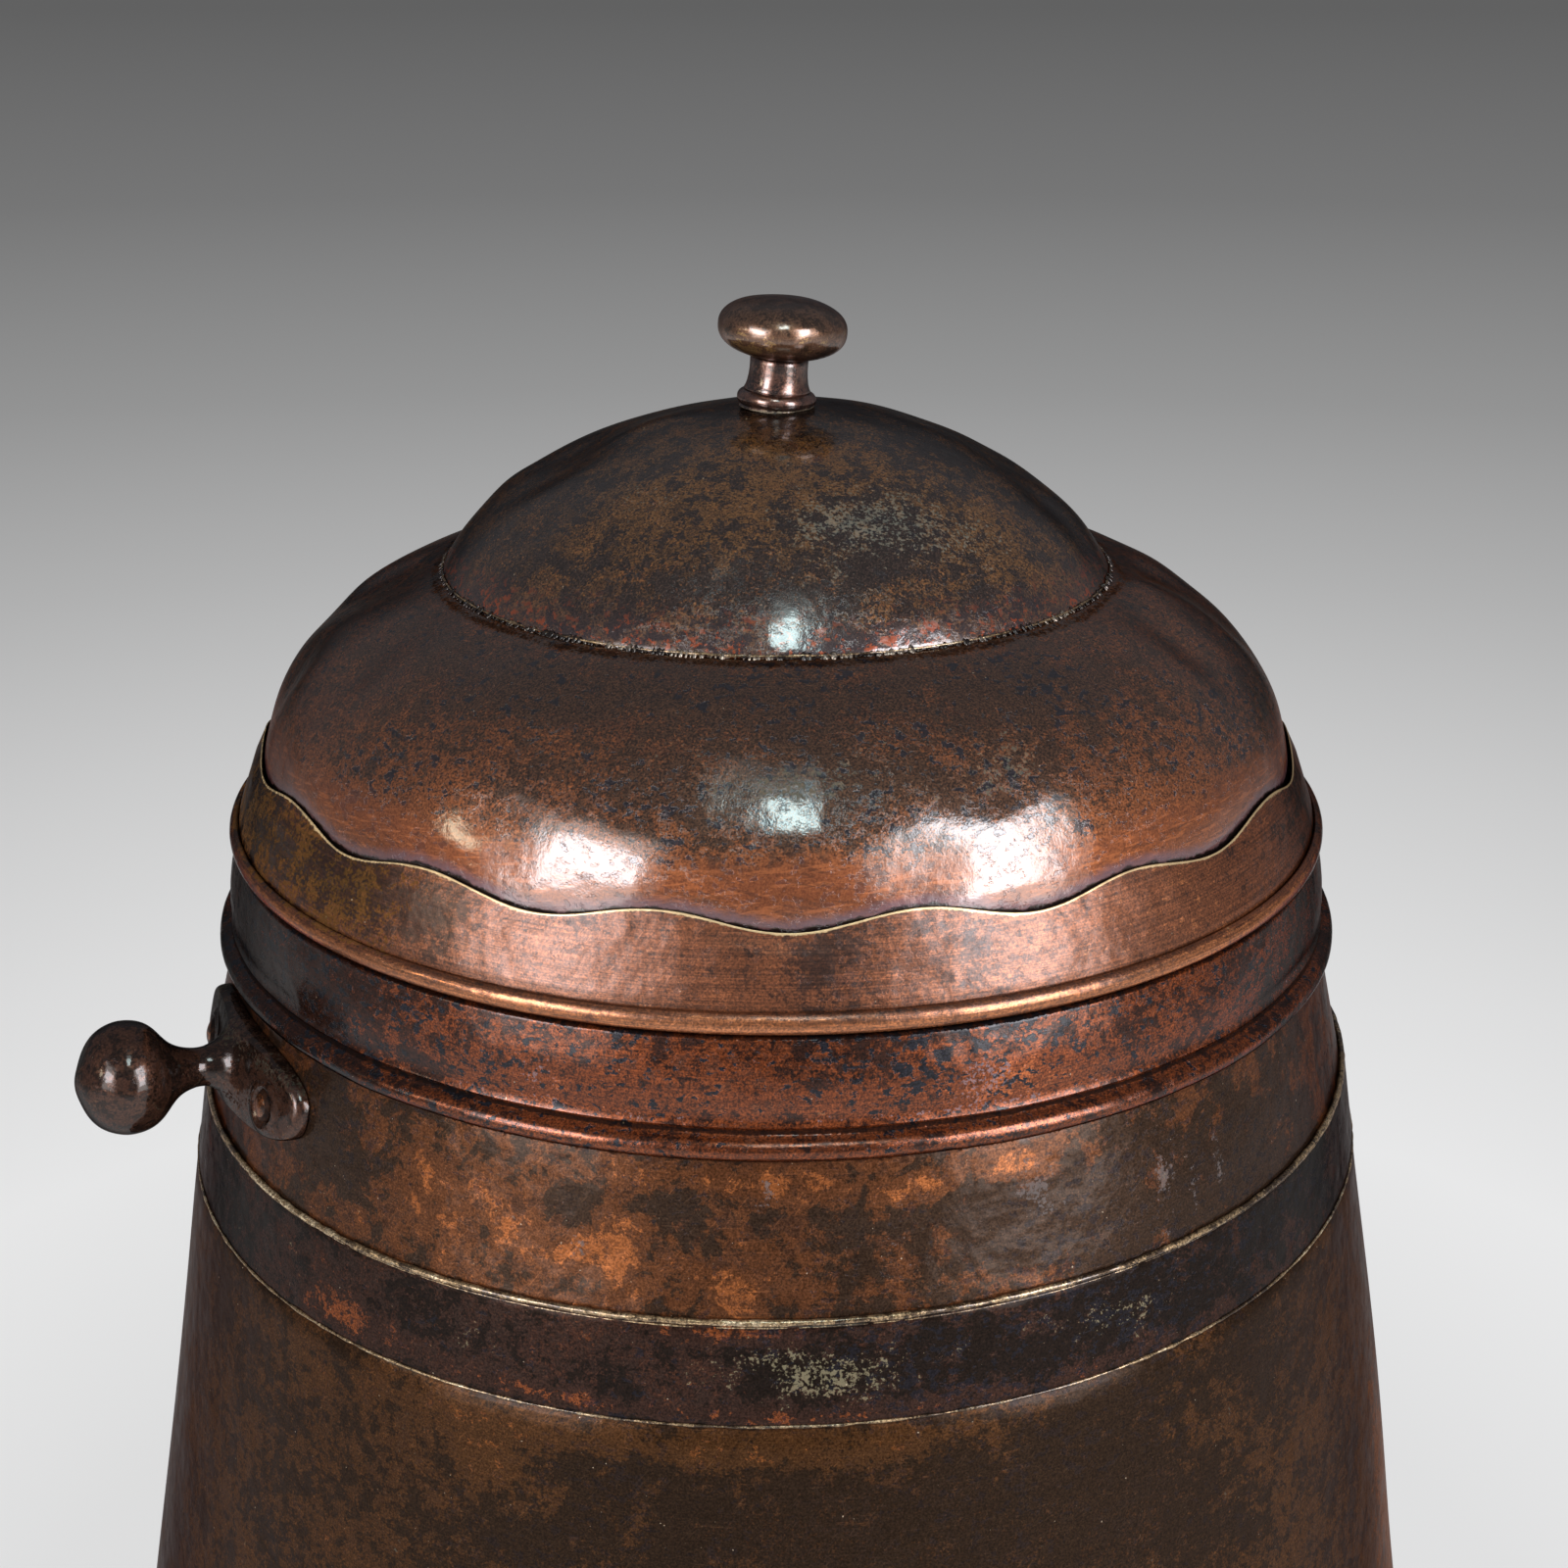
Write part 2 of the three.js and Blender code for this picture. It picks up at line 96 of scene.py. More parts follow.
def mesh_object(name, places, faces, material):
    """A smooth mesh object at the origin."""
    mesh = bpy.data.meshes.new(name)
    mesh.from_pydata([tuple(p) for p in places], [], faces)
    mesh.update()
    piece = bpy.data.objects.new(name, mesh)
    smooth(piece)
    bpy.context.scene.collection.objects.link(piece)
    for finish in material if isinstance(material, (list, tuple)) else [material]:
        mesh.materials.append(finish)
    return piece


def turned(name, outline, material, segments=240, move=None):
    """Turns a closed outline about the bin's axis. move bends the places afterwards."""
    outline = np.array(outline, float)
    following = np.roll(outline, -1, axis=0)
    if (outline[:, 0] * following[:, 1] - following[:, 0] * outline[:, 1]).sum() < 0:
        outline = outline[::-1]
    ring = np.radians(np.arange(segments) * 360 / segments)
    places, rows = [], []
    for radius, height in outline:
        if radius < 1e-7:
            rows.append([len(places)] * segments)
            places.append((0, 0, height))
        else:
            rows.append(list(range(len(places), len(places) + segments)))
            places.extend((radius * math.cos(t), radius * math.sin(t), height) for t in ring)
    faces = []
    for i, row in enumerate(rows):
        following = rows[(i + 1) % len(rows)]
        for j in range(segments):
            k = (j + 1) % segments
            corners = list(dict.fromkeys((row[j], row[k], following[k], following[j])))
            if len(corners) > 2:
                faces.append(corners)
    places = np.array(places)
    if move is not None:
        places = places + move(places)
    return mesh_object(name, places, faces, material)


def beaten(places, seed, depth, shortest, longest, count=14):
    """How far a hammered sheet stands out at each place: a sum of long random waves."""
    dice = np.random.RandomState(seed)
    rise = np.zeros(len(places))
    for _ in range(count):
        way = dice.normal(size=3)
        way /= np.linalg.norm(way)
        length = dice.uniform(shortest, longest)
        rise += np.sin(places @ way * 2 * np.pi / length + dice.uniform(0, 2 * np.pi))
    return rise * depth / math.sqrt(count / 2)


def azimuth(places):
    """The angle of each place about the axis, in degrees from the front."""
    return np.degrees(np.arctan2(places[:, 0], -places[:, 1]))


def marks(places, spots):
    """A sum of soft round marks. Each spot: azimuth, height, half width, half height in mm, and amount."""
    radius = np.hypot(places[:, 0], places[:, 1])
    angle = azimuth(places)
    sum_of_marks = np.zeros(len(places))
    for turn, height, wide, tall, amount in spots:
        across = np.radians((angle - turn + 180) % 360 - 180) * radius / (wide * mm)
        along = (places[:, 2] - height * mm) / (tall * mm)
        sum_of_marks += amount * np.exp(-(across ** 2 + along ** 2))
    return sum_of_marks


def paint(piece, name, values):
    """Stores one number for each place of a mesh, for its material to read."""
    layer = piece.data.attributes.new(name, "FLOAT", "POINT")
    layer.data.foreach_set("value", np.asarray(values, np.float32))


def places_of(piece):
    places = np.zeros(len(piece.data.vertices) * 3)
    piece.data.vertices.foreach_get("co", places)
    return places.reshape(-1, 3)


def line_inside(piece, height):
    """Gives the second material to the faces that look towards the middle of the bin at that height."""
    for face in piece.data.polygons:
        away = Vector((face.center.x, face.center.y, face.center.z - height if height else 0))
        face.material_index = 1 if face.normal.dot(away.normalized()) < -0.2 else 0


def srgb(code):
    """A colour written as rrggbb."""
    parts = [int(code[i:i + 2], 16) / 255 for i in (0, 2, 4)]
    return tuple(c / 12.92 if c < 0.04045 else ((c + 0.055) / 1.055) ** 2.4 for c in parts) + (1,)


def node(tree, kind, inputs=None, **settings):
    """Adds a node, sets or links its inputs, and returns its first output."""
    made = tree.nodes.new(kind)
    for key, value in settings.items():
        setattr(made, key, value)
    for key, value in (inputs or {}).items():
        if isinstance(value, bpy.types.NodeSocket):
            tree.links.new(value, made.inputs[key])
        else:
            made.inputs[key].default_value = value
    return made.outputs[0]


def calc(tree, operation, value, *terms):
    """Works out a value with one, two or more terms, from left to right."""
    for term in terms or (0.0,):
        value = node(tree, "ShaderNodeMath", {0: value, 1: term}, operation=operation)
    return value


def fade(tree, value, low, high, start=0.0, end=1.0):
    """A soft step from start to end as value goes from low to high."""
    return node(tree, "ShaderNodeMapRange", {0: value, 1: low, 2: high, 3: start, 4: end},
                interpolation_type="SMOOTHSTEP")


def tint(tree, share, first, second):
    """Mixes two colours."""
    return node(tree, "ShaderNodeMix", {0: share, 6: first, 7: second}, data_type="RGBA").node.outputs[2]


def speckle(tree, where, scale, detail=4.0, rough=0.6, stretch=None, bend=0.0, turn=(0, 0, 0)):
    """A noise over the object's own coordinates."""
    if stretch:
        where = node(tree, "ShaderNodeMapping", {"Vector": where, "Rotation": turn})
        where = node(tree, "ShaderNodeMapping", {"Vector": where, "Scale": stretch})
    return node(tree, "ShaderNodeTexNoise", {"Vector": where, "Scale": scale, "Detail": detail,
                                             "Roughness": rough, "Distortion": bend})


def stored(tree, name):
    """A number painted on the mesh."""
    made = tree.nodes.new("ShaderNodeAttribute")
    made.attribute_name = name
    return made.outputs["Fac"]


def total(tree, *terms):
    """Adds up terms, each a value or a pair of a noise and how strongly it swings about nothing."""
    result = 0.0
    for term in terms:
        if isinstance(term, tuple):
            noise, swing = term
            term = node(tree, "ShaderNodeMath", {0: noise, 1: swing, 2: -0.5 * swing},
                        operation="MULTIPLY_ADD")
        result = term if isinstance(result, float) and result == 0.0 else calc(tree, "ADD", result, term)
    return result


def old_copper(name, deep, worn, bare, crust_and_sheen_colour="6b6a58", rub_and_sheen=0.0, patch=0.5, mottle=0.5, spots=0.4, bloom_and_sheen=0.0,
               brush=0.0, scuff=1.0, grit=1.0, coarse=0.0, dents=1.0, metal=0.75, rough=0.38, wax=0.5,
               wax_rough=0.14, edge=0.6, over=None):
    """Copper under an old patina. deep, worn and bare are its colours from dark oxide to rubbed metal, and
    patch is how unevenly they change. mottle are dark stains, spots dark pits, bloom_and_sheen a pale crusty
    deposit that in a few places is painted to stand for a sheen, brush the lines round the bin, scuff the
    scratches, coarse makes whole patches of fine speckle, dents is how uneven the surface is, wax and
    wax_rough are the clear gloss on top, and edge how much the metal mirrors at a slant. over lays one more
    layer on the colour."""
    material = bpy.data.materials.new(name)
    material.use_nodes = True
    tree = material.node_tree
    where = tree.nodes.new("ShaderNodeTexCoord").outputs["Object"]
    cloud = speckle(tree, where, 13, 3, 0.55, bend=0.6)
    blotch = speckle(tree, where, 80, 9, 0.72, bend=0.35)
    stain = speckle(tree, where, 230, 6, 0.74, stretch=(1, 1, 1.3), bend=0.3)
    pits = speckle(tree, where, 300, 4, 0.62, stretch=(1, 1, 1.5), bend=0.2)
    flecks = speckle(tree, where, 1050, 2, 0.6)
    grain = speckle(tree, where, 1700, 1, 0.5)

    def share_of(low, high, most, *terms):
        """How much of a layer shows: none where the terms add up to low, and most where they reach high."""
        return fade(tree, total(tree, *terms), low, high, 0, most)

    def times(value, factor):
        return calc(tree, "MULTIPLY", value, factor)

    fine = 1 - 0.7 * coarse
    # The tone rises towards bare copper where rub_and_sheen is painted high; a few of its marks are painted
    # sheens and reflections rather than wear.
    tone = total(tree, stored(tree, "rub_and_sheen"), rub_and_sheen, (cloud, patch),
                 (blotch, (0.5 + 1.2 * patch) * (1 + 0.8 * coarse)))
    share = share_of(-0.1, 0.1 - 0.1 * coarse, 1, tone, (stain, 2.0 * fine), (flecks, 0.6 * fine))
    colour = tint(tree, share, srgb(deep), srgb(worn))
    share = share_of(0.4 - 0.1 * coarse, 0.47 - 0.12 * coarse, 0.85, tone, (stain, 1.5 * fine),
                     (pits, 1.2 * fine), (flecks, 0.6 * fine))
    colour = tint(tree, share, colour, srgb(bare))
    share = share_of(0.6, 0.7, 0.45 * grit * fine, flecks, (cloud, 0.3), (blotch, 1.0))
    colour = tint(tree, share, colour, tint(tree, 0.4, srgb(worn), srgb(bare)))
    share = share_of(0.12, 0.06, 0.4 * grit, flecks, (cloud, -0.5), (stain, -0.4))
    colour = tint(tree, share, colour, srgb(crust_and_sheen_colour))
    dark = share_of(0.56, 0.6, mottle, stain, (cloud, 0.35), (blotch, 0.5), times(tone, -0.12))
    colour = tint(tree, dark, colour, srgb("2b201b"))
    speck = share_of(0.62 - 0.04 * spots, 0.64 - 0.04 * spots, spots, pits, (cloud, -0.4), (blotch, 0.3))
    colour = tint(tree, speck, colour, srgb("1a1a21"))
    shade = fade(tree, grain, 0.25, 0.75, 1 - 0.7 * grit, 1 + 0.7 * grit)
    height = total(tree, (grain, 0.02 * grit), (speckle(tree, where, 150, 2, 0.5), 0.3 * dents),
                   (speckle(tree, where, 45, 2, 0.5), 0.8 * dents))
    if brush:
        lines = total(tree, speckle(tree, where, 1, 2, 0.6, stretch=(26, 26, 2300)), (cloud, 0.12))
        shade = times(shade, fade(tree, lines, 0.36, 0.64, 1 - 0.5 * brush, 1 + 0.5 * brush))
        height = total(tree, height, (lines, 0.03 * brush))
    scratches = (((80, 700, 2900), 0), ((2700, 2700, 110), 0.1), ((70, 900, 2500), 0.5),
                 ((2500, 900, 90), -0.7), ((90, 800, 2600), -0.35))
    for way, (lines, tilt) in enumerate(scratches):
        scratch = speckle(tree, where, 1, 1, 0.5, stretch=lines, bend=0.15, turn=(0, tilt, way))
        shade = calc(tree, "ADD", shade, fade(tree, scratch, 0.68, 0.74, 0, 0.7 * scuff))
    colour = node(tree, "ShaderNodeVectorMath", {0: colour, "Scale": shade}, operation="SCALE")
    # A pale crusty deposit where bloom_and_sheen is painted high; a few of its marks are instead a painted
    # sheen of the lamps.
    crust_and_sheen_share = share_of(0.22, 0.42 - 0.14 * coarse, 0.6, stored(tree, "bloom_and_sheen"), bloom_and_sheen,
                       (flecks, 1.8 - 1.2 * coarse), (stain, 1.2), (blotch, 1 + coarse))
    colour = tint(tree, crust_and_sheen_share, colour, srgb(crust_and_sheen_colour))
    glints = fade(tree, speckle(tree, where, 900, 1, 0.5), 0.8, 0.83, 0, 0.7)
    colour = tint(tree, glints, colour, srgb("c8b49a"))
    # Darkens towards black where grime_and_shade is painted: real dirt in grooves and on the handle plates,
    # and a painted shadow under the crown's seam and under the lid's bead.
    grime_and_shade = share_of(0.3, 0.55, 0.9, stored(tree, "grime_and_shade"), (blotch, 0.8), (flecks, 0.6))
    colour = tint(tree, grime_and_shade, colour, srgb("120e0d"))
    bright = share_of(0.3, 0.6, 1, stored(tree, "bright"), (blotch, 1.6), (flecks, 0.5))
    colour = tint(tree, bright, colour, srgb("d8bb8c"))
    if over:
        colour = over(tree, where, colour)
    gloss = total(tree, rough, (blotch, 0.35), times(crust_and_sheen_share, 0.25), times(grime_and_shade, 0.3), times(speck, 0.15),
                  times(stored(tree, "polish"), -0.2))
    dull = calc(tree, "MAXIMUM", crust_and_sheen_share, grime_and_shade)
    slant = tree.nodes.new("ShaderNodeLayerWeight").outputs["Facing"]
    metallic = times(fade(tree, slant, 0.5, 0.85, metal, 1.0), fade(tree, dull, 0, 1, 1, 0.3))
    waxed = times(fade(tree, slant, 0.5, 0.85, wax, wax * 0.12), fade(tree, dull, 0, 0.5, 1, 0))
    height = total(tree, height, times(speck, -0.04), times(dark, -0.02))
    bump = node(tree, "ShaderNodeBump", {"Height": height, "Strength": 1.0, "Distance": 1 * mm})
    shader = tree.nodes["Principled BSDF"].inputs
    for key, value in (("Base Color", colour), ("Roughness", gloss), ("Metallic", metallic),
                       ("Coat Weight", waxed), ("Normal", bump), ("Coat Normal", bump)):
        tree.links.new(value, shader[key])
    shader["Specular IOR Level"].default_value = 0.2 * edge
    shader["Specular Tint"].default_value = (0.95 * edge, 0.85 * edge, 0.85 * edge, 1)
    shader["Coat Roughness"].default_value = wax_rough
    shader["Coat IOR"].default_value = 1.85
    return material


def wall_radius(height):
    return foot_radius + wall_slope * (height - foot_height)


def outward(places, out, lift=0.0):
    """A shift of each place away from the axis, and upwards."""
    radius = np.hypot(places[:, 0], places[:, 1])
    return np.column_stack((places[:, 0] / radius * out, places[:, 1] / radius * out, lift + 0 * radius))


def strap_tilt(places):
    """The strap sits a little higher on the right, and the joint between the walls goes with it."""
    near = np.exp(-((places[:, 2] - waist_height) / (45 * mm)) ** 4)
    lift = places[:, 0] * math.tan(math.radians(0.8)) * near
    return outward(places, lift * wall_slope, lift)


def wall_bends(places):
    """The walls are a little out of round, with the soft dents of long use."""
    height = places[:, 2]
    out = beaten(places, 3, 0.35 * mm, 0.09, 0.3)
    out += mm * marks(places, [(-35, 150, 30, 40, -0.9), (28, 190, 26, 20, -0.7), (70, 90, 34, 46, -1.1),
                               (150, 120, 40, 40, -1.3), (-120, 200, 26, 30, -1.0), (5, 40, 60, 30, -0.8)])
    out *= np.clip((height - 12 * mm) / (30 * mm), 0, 1)
    out *= np.clip(np.abs(height - waist_height) / (40 * mm), 0, 1)
    out *= np.clip((318 * mm - height) / (20 * mm), 0, 1)
    return strap_tilt(places) + outward(places, out)


def back_seam(tree, where, colour):
    """Lays the brazed dovetails on the colour, up the back of a wall."""
    axes = node(tree, "ShaderNodeSeparateXYZ", {0: where}).node.outputs
    tooth = calc(tree, "PINGPONG", axes[2], 9 * mm)
    tooth = fade(tree, tooth, 3.4 * mm, 5.6 * mm, -5 * mm, 5 * mm)
    away = calc(tree, "ABSOLUTE", calc(tree, "SUBTRACT", axes[0], tooth))
    wobble = calc(tree, "MULTIPLY", speckle(tree, where, 300), 1.6 * mm)
    line = fade(tree, calc(tree, "ADD", away, wobble), 1.0 * mm, 2.0 * mm, 0.8, 0)
    line = calc(tree, "MULTIPLY", line, calc(tree, "GREATER_THAN", axes[1], 0))
    return tint(tree, line, colour, srgb("9a7a4c"))


sooty = old_copper("sooted_inside", "15110e", "2a1d16", "46291b", crust_and_sheen_colour="3a3834", rub_and_sheen=-0.3, bloom_and_sheen=0.05,
                   metal=0.3, rough=0.6, wax=0.0, edge=0.2)
lower_finish = old_copper("lower_wall_patina", "2a1d13", "452c18", "7a4822", crust_and_sheen_colour="55564c", rub_and_sheen=-0.12,
                          patch=0.48, mottle=0.3, spots=0.3, bloom_and_sheen=-0.3, brush=0.15, coarse=0.4, grit=0.6,
                          metal=0.6, rough=0.42, wax=0.05, edge=0.5, over=back_seam)
hem = 257 * mm
tuck = wall_sheet + 0.3 * mm
joggle_top = (wall_radius(hem) - tuck - wall_sheet, hem)
joggle_foot = (wall_radius(hem - 3 * mm) - wall_sheet, hem - 3 * mm)
lower_face = np.vstack((
    run((wall_radius(waist_height) - tuck - wall_sheet, waist_height - 0.15 * mm), joggle_top, 3),
    run(joggle_top, joggle_foot, 3),
    run(joggle_foot, (230.2 * mm, 9.6 * mm), 46),
    arc((foot_radius, foot_height), foot_height, foot_height, 108, 430, 26)))
lower_wall = turned("lower_wall_sheet", sheet(lower_face, wall_sheet), [lower_finish, sooty], 300, wall_bends)
line_inside(lower_wall, 0)
at = places_of(lower_wall)
paint(lower_wall, "rub_and_sheen", marks(at, [
    (-50, 206, 16, 34, 0.1), (-56, 160, 26, 50, 0.15), (-45, 240, 18, 8, 0.15), (-33, 244, 26, 8, 0.1),
    (50, 200, 30, 50, 0.15), (38, 230, 20, 20, 0.15),
    (-17, 250, 36, 5, 0.35), (0, 251, 40, 4.5, 0.42), (14, 252, 20, 4, 0.25), (-24, 238, 12, 9, 0.3),
    # The first two marks on this line are a painted reflection down the wall's right edge, drawn as bare
    # copper.
    (72, 150, 30, 70, 0.55), (80, 100, 40, 70, 0.45), (-30, 100, 40, 40, 0.3), (30, 80, 50, 40, 0.25),
    (-40, 190, 34, 60, 0.12),
    (8, 225, 40, 14, -0.25), (30, 215, 34, 20, -0.2), (-8, 150, 50, 50, -0.1), (48, 240, 20, 14, -0.2),
    (140, 150, 40, 80, 0.5), (-150, 120, 50, 60, 0.5), (180, 60, 60, 40, 0.35)]))
paint(lower_wall, "bloom_and_sheen", marks(at, [
    (-32, 215, 7, 40, 0.3), (-25, 200, 6, 40, 0.25), (40, 225, 10, 30, 0.3), (30, 180, 8, 60, 0.25),
    (52, 215, 8, 40, 0.25), (-6, 232, 20, 7, 0.2), (180, 210, 60, 60, 0.2), (110, 190, 10, 60, 0.25)]))
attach(lower_wall, "bin")
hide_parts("lower_wall")


# Foot ring
# The round iron ring that the wall's foot is rolled over. Only its last bit shows, in the roll's gap.

iron = old_copper("black_iron", "1a1816", "332c27", "5a4a3d", crust_and_sheen_colour="5b3a26", rub_and_sheen=-0.2,
                  bloom_and_sheen=0.0, metal=0.6, rough=0.5, wax=0.0)


def finish_node(name, material):
    """Gives a CAD node its material."""
    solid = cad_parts[name]
    solid.data.materials.clear()
    solid.data.materials.append(material)
    for slot in solid.material_slots:
        slot.material = material


finish_node("foot_wire", iron)


# Base plate
# A copper disc let in above the foot, its edge turned down and brazed to the wall. It carries the
# coal, so its upper side is black with dust.

base_finish = old_copper("base_plate_patina", "2a1e19", "4d2f20", "7c4a2b", rub_and_sheen=-0.15, bloom_and_sheen=0.0,
                         metal=0.5, rough=0.5, wax=0.0)
base_height = 20 * mm
base_face = np.vstack((
    run((wall_radius(9 * mm) - 2 * mm, 9 * mm), (wall_radius(17 * mm) - 2 * mm, 17 * mm), 4),
    arc((wall_radius(17 * mm) - 5 * mm, base_height - 3 * mm), 3 * mm, 3 * mm, 0, 90, 6),
    run((wall_radius(17 * mm) - 8 * mm, base_height), (0, base_height), 12), [(0, base_height)]))


def base_sag(places):
    """The middle of the disc has sunk a little under the coal."""
    radius = np.hypot(places[:, 0], places[:, 1])
    down = -1.2 * mm * np.clip(1 - (radius / 0.2) ** 2, 0, 1) + beaten(places, 8, 0.12 * mm, 0.05, 0.12)
    return np.column_stack((0 * radius, 0 * radius, down * (radius < 0.21)))


base_plate = turned("base_plate_disc", sheet(base_face, 1.4 * mm), [base_finish, sooty], 200, base_sag)
for face in base_plate.data.polygons:
    face.material_index = 1 if face.normal.z > 0.5 else 0
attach(base_plate, "bin")
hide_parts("base_plate")


# Upper wall
# A second copper sheet that flares from the collar down to the strap and goes on up inside the
# collar to the mouth. It is brazed up the back as the lower one is.

neck_radius = 173.1 * mm
neck_height = 325.2 * mm
mouth_radius = 167.8 * mm
mouth_height = 360 * mm
strap_top = 284 * mm
groove_radius = 169.7 * mm
groove_height = 334.8 * mm
upper_finish = old_copper("upper_wall_patina", "38281d", "5e3922", "96582f", crust_and_sheen_colour="6a6462", rub_and_sheen=-0.05,
                          patch=0.85, mottle=0.5, spots=0.5, bloom_and_sheen=-0.22, brush=0.15, coarse=0.8, grit=0.6,
                          metal=0.65, rough=0.36, wax=0.16, edge=0.4, over=back_seam)
under_strap = (wall_radius(strap_top) - tuck, strap_top)
upper_top = (mouth_radius, mouth_height - 1.8 * mm)
upper_face = np.vstack((
    run((wall_radius(waist_height) - tuck, waist_height + 0.15 * mm), under_strap, 4),
    run(under_strap, (neck_radius, neck_height), 22),
    run((neck_radius, neck_height), (groove_radius, groove_height), 6),
    run((groove_radius, groove_height), upper_top, 10), [upper_top]))
upper_wall = turned("upper_wall_sheet", sheet(upper_face, wall_sheet), [upper_finish, sooty], 300, wall_bends)
line_inside(upper_wall, 0)
at = places_of(upper_wall)
paint(upper_wall, "rub_and_sheen", marks(at, [
    (-32.5, 308, 8, 12, 0.35), (-28, 301, 14, 8, 0.15), (-22, 299, 14, 6, 0.2), (-20, 317, 12, 5, 0.1),
    (-14, 301, 10, 8, 0.45), (-18, 311, 7, 6, -0.35), (-8, 315, 5, 6, -0.35), (-4, 321, 22, 3, 0.3),
    (-3, 292, 24, 5, 0.3), (2, 312, 18, 5, -0.15), (9, 318, 20, 4, 0.35), (20, 319, 16, 3, 0.3),
    (24, 306, 40, 12, -0.3), (50, 300, 30, 16, -0.35), (-46, 300, 16, 14, -0.25), (120, 300, 40, 16, 0.5),
    (-120, 300, 40, 14, 0.4)]))
paint(upper_wall, "bloom_and_sheen", marks(at, [
    (36.5, 302, 3, 14, 0.55), (39.5, 300, 2.5, 12, 0.45), (43, 301, 3, 12, 0.4), (-17, 306, 6, 12, 0.35),
    # On this line the mark at 23° is a painted sheen on the wall's right; the others are pale deposit.
    (23, 309, 9, 11, 0.44), (10, 308, 5, 8, 0.3), (-1, 316, 6, 6, 0.3), (-52, 316, 20, 6, 0.1)]))
# A dark ring on the wall just under the collar's bead.
paint(upper_wall, "grime_and_shade", marks(at, [(0, 327.5, 900, 2.2, 0.6)]))
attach(upper_wall, "bin")
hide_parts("upper_wall")


# Waist strap
# A flat copper strap round the joint of the two walls. Its lower edge lies level with the lower wall
# and its upper edge stands over the upper wall. Brass was run into both edges, and shows bright.

strap_finish = old_copper("strap_patina", "1c130e", "33211a", "7e4424", crust_and_sheen_colour="8a8268", rub_and_sheen=-0.05,
                          patch=0.8, spots=0.7, bloom_and_sheen=-0.28, brush=0.1, coarse=0.3, grit=0.7, metal=0.6,
                          rough=0.36, wax=0.1, edge=0.35)
strap_face = run((wall_radius(hem + 0.3 * mm), hem + 0.3 * mm), (wall_radius(strap_top), strap_top), 14)
strap_face = np.vstack((strap_face, [(wall_radius(strap_top), strap_top)]))
waist_strap = turned("waist_strap_band", sheet(strap_face, wall_sheet), strap_finish, 320, strap_tilt)
at = places_of(waist_strap)
paint(waist_strap, "rub_and_sheen", marks(at, [
    (-40, 262, 20, 5, 0.4), (-20, 260, 24, 3, 0.35), (2, 259.5, 60, 2.5, 0.4), (30, 261, 50, 3, 0.3),
    (-4, 282, 30, 2.5, 0.4), (-70, 270, 14, 14, 0.3), (160, 268, 60, 8, 0.4)]))
paint(waist_strap, "bloom_and_sheen", marks(at, [
    (3, 271, 24, 8, 0.6), (-3, 277, 14, 4, 0.2), (16, 276, 16, 5, 0.25), (-26, 271, 10, 5, 0.4),
    # On this line the mark at 30° is a painted sheen on the strap's right; the others are pale deposit.
    (-34, 274, 5, 5, 0.3), (30, 274, 26, 8, 0.4), (-47, 272, 4, 6, 0.3), (-150, 270, 50, 9, 0.35)]))
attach(waist_strap, "bin")
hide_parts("waist_strap")


# Brazing lines
# Brass that was run along the edges of the strap and under the crown, filed back by hand, so that
# each line is a little ragged and swells and thins round the bin.

brazing = old_copper("brazing_brass", "4d3d2d", "99805f", "dcc5a0", crust_and_sheen_colour="9a9686", rub_and_sheen=0.15, patch=1.2,
                     mottle=0.5, spots=0.4, bloom_and_sheen=-0.1, metal=0.75, rough=0.32)


def group(name, inputs):
    """A Geometry Nodes tree with named inputs of a kind and default each, and the sockets to read them."""
    tree = bpy.data.node_groups.new(name, "GeometryNodeTree")
    tree.interface.new_socket(name="Geometry", in_out="OUTPUT", socket_type="NodeSocketGeometry")
    for label, (kind, default) in {**inputs, "Finish": ("Material", None)}.items():
        made = tree.interface.new_socket(name=label, in_out="INPUT", socket_type="NodeSocket" + kind)
        if default is not None:
            made.default_value = default
    return tree, tree.nodes.new("NodeGroupInput").outputs


def vector(tree, x, y, z):
    return node(tree, "ShaderNodeCombineXYZ", {0: x, 1: y, 2: z})


def finished(tree, geometry, given):
    """Ends a tree: its copies become a real mesh and get their finish."""
    real = node(tree, "GeometryNodeRealizeInstances", {"Geometry": geometry})
    real = node(tree, "GeometryNodeSetMaterial", {"Geometry": real, "Material": given["Finish"]})
    tree.links.new(real, tree.nodes.new("NodeGroupOutput").inputs[0])


def grown(name, tree, values, base=None):
    """Runs a Geometry Nodes tree and keeps its result as a plain mesh at the origin."""
    mesh = base.data.copy() if base else bpy.data.meshes.new(name + "_start")
    start = bpy.data.objects.new(name + "_start", mesh)
    bpy.context.scene.collection.objects.link(start)
    modifier = start.modifiers.new("grow", "NODES")
    modifier.node_group = tree
    identifiers = {item.name: item.identifier for item in tree.interface.items_tree if item.in_out == "INPUT"}
    for label, value in values.items():
        modifier[identifiers[label]] = value
    graph = bpy.context.evaluated_depsgraph_get()
    graph.update()
    made = bpy.data.meshes.new_from_object(start.evaluated_get(graph))
    start.modifiers.clear()
    bpy.data.objects.remove(start)
    made.name = name
    piece = bpy.data.objects.new(name, made)
    bpy.context.scene.collection.objects.link(piece)
    return piece


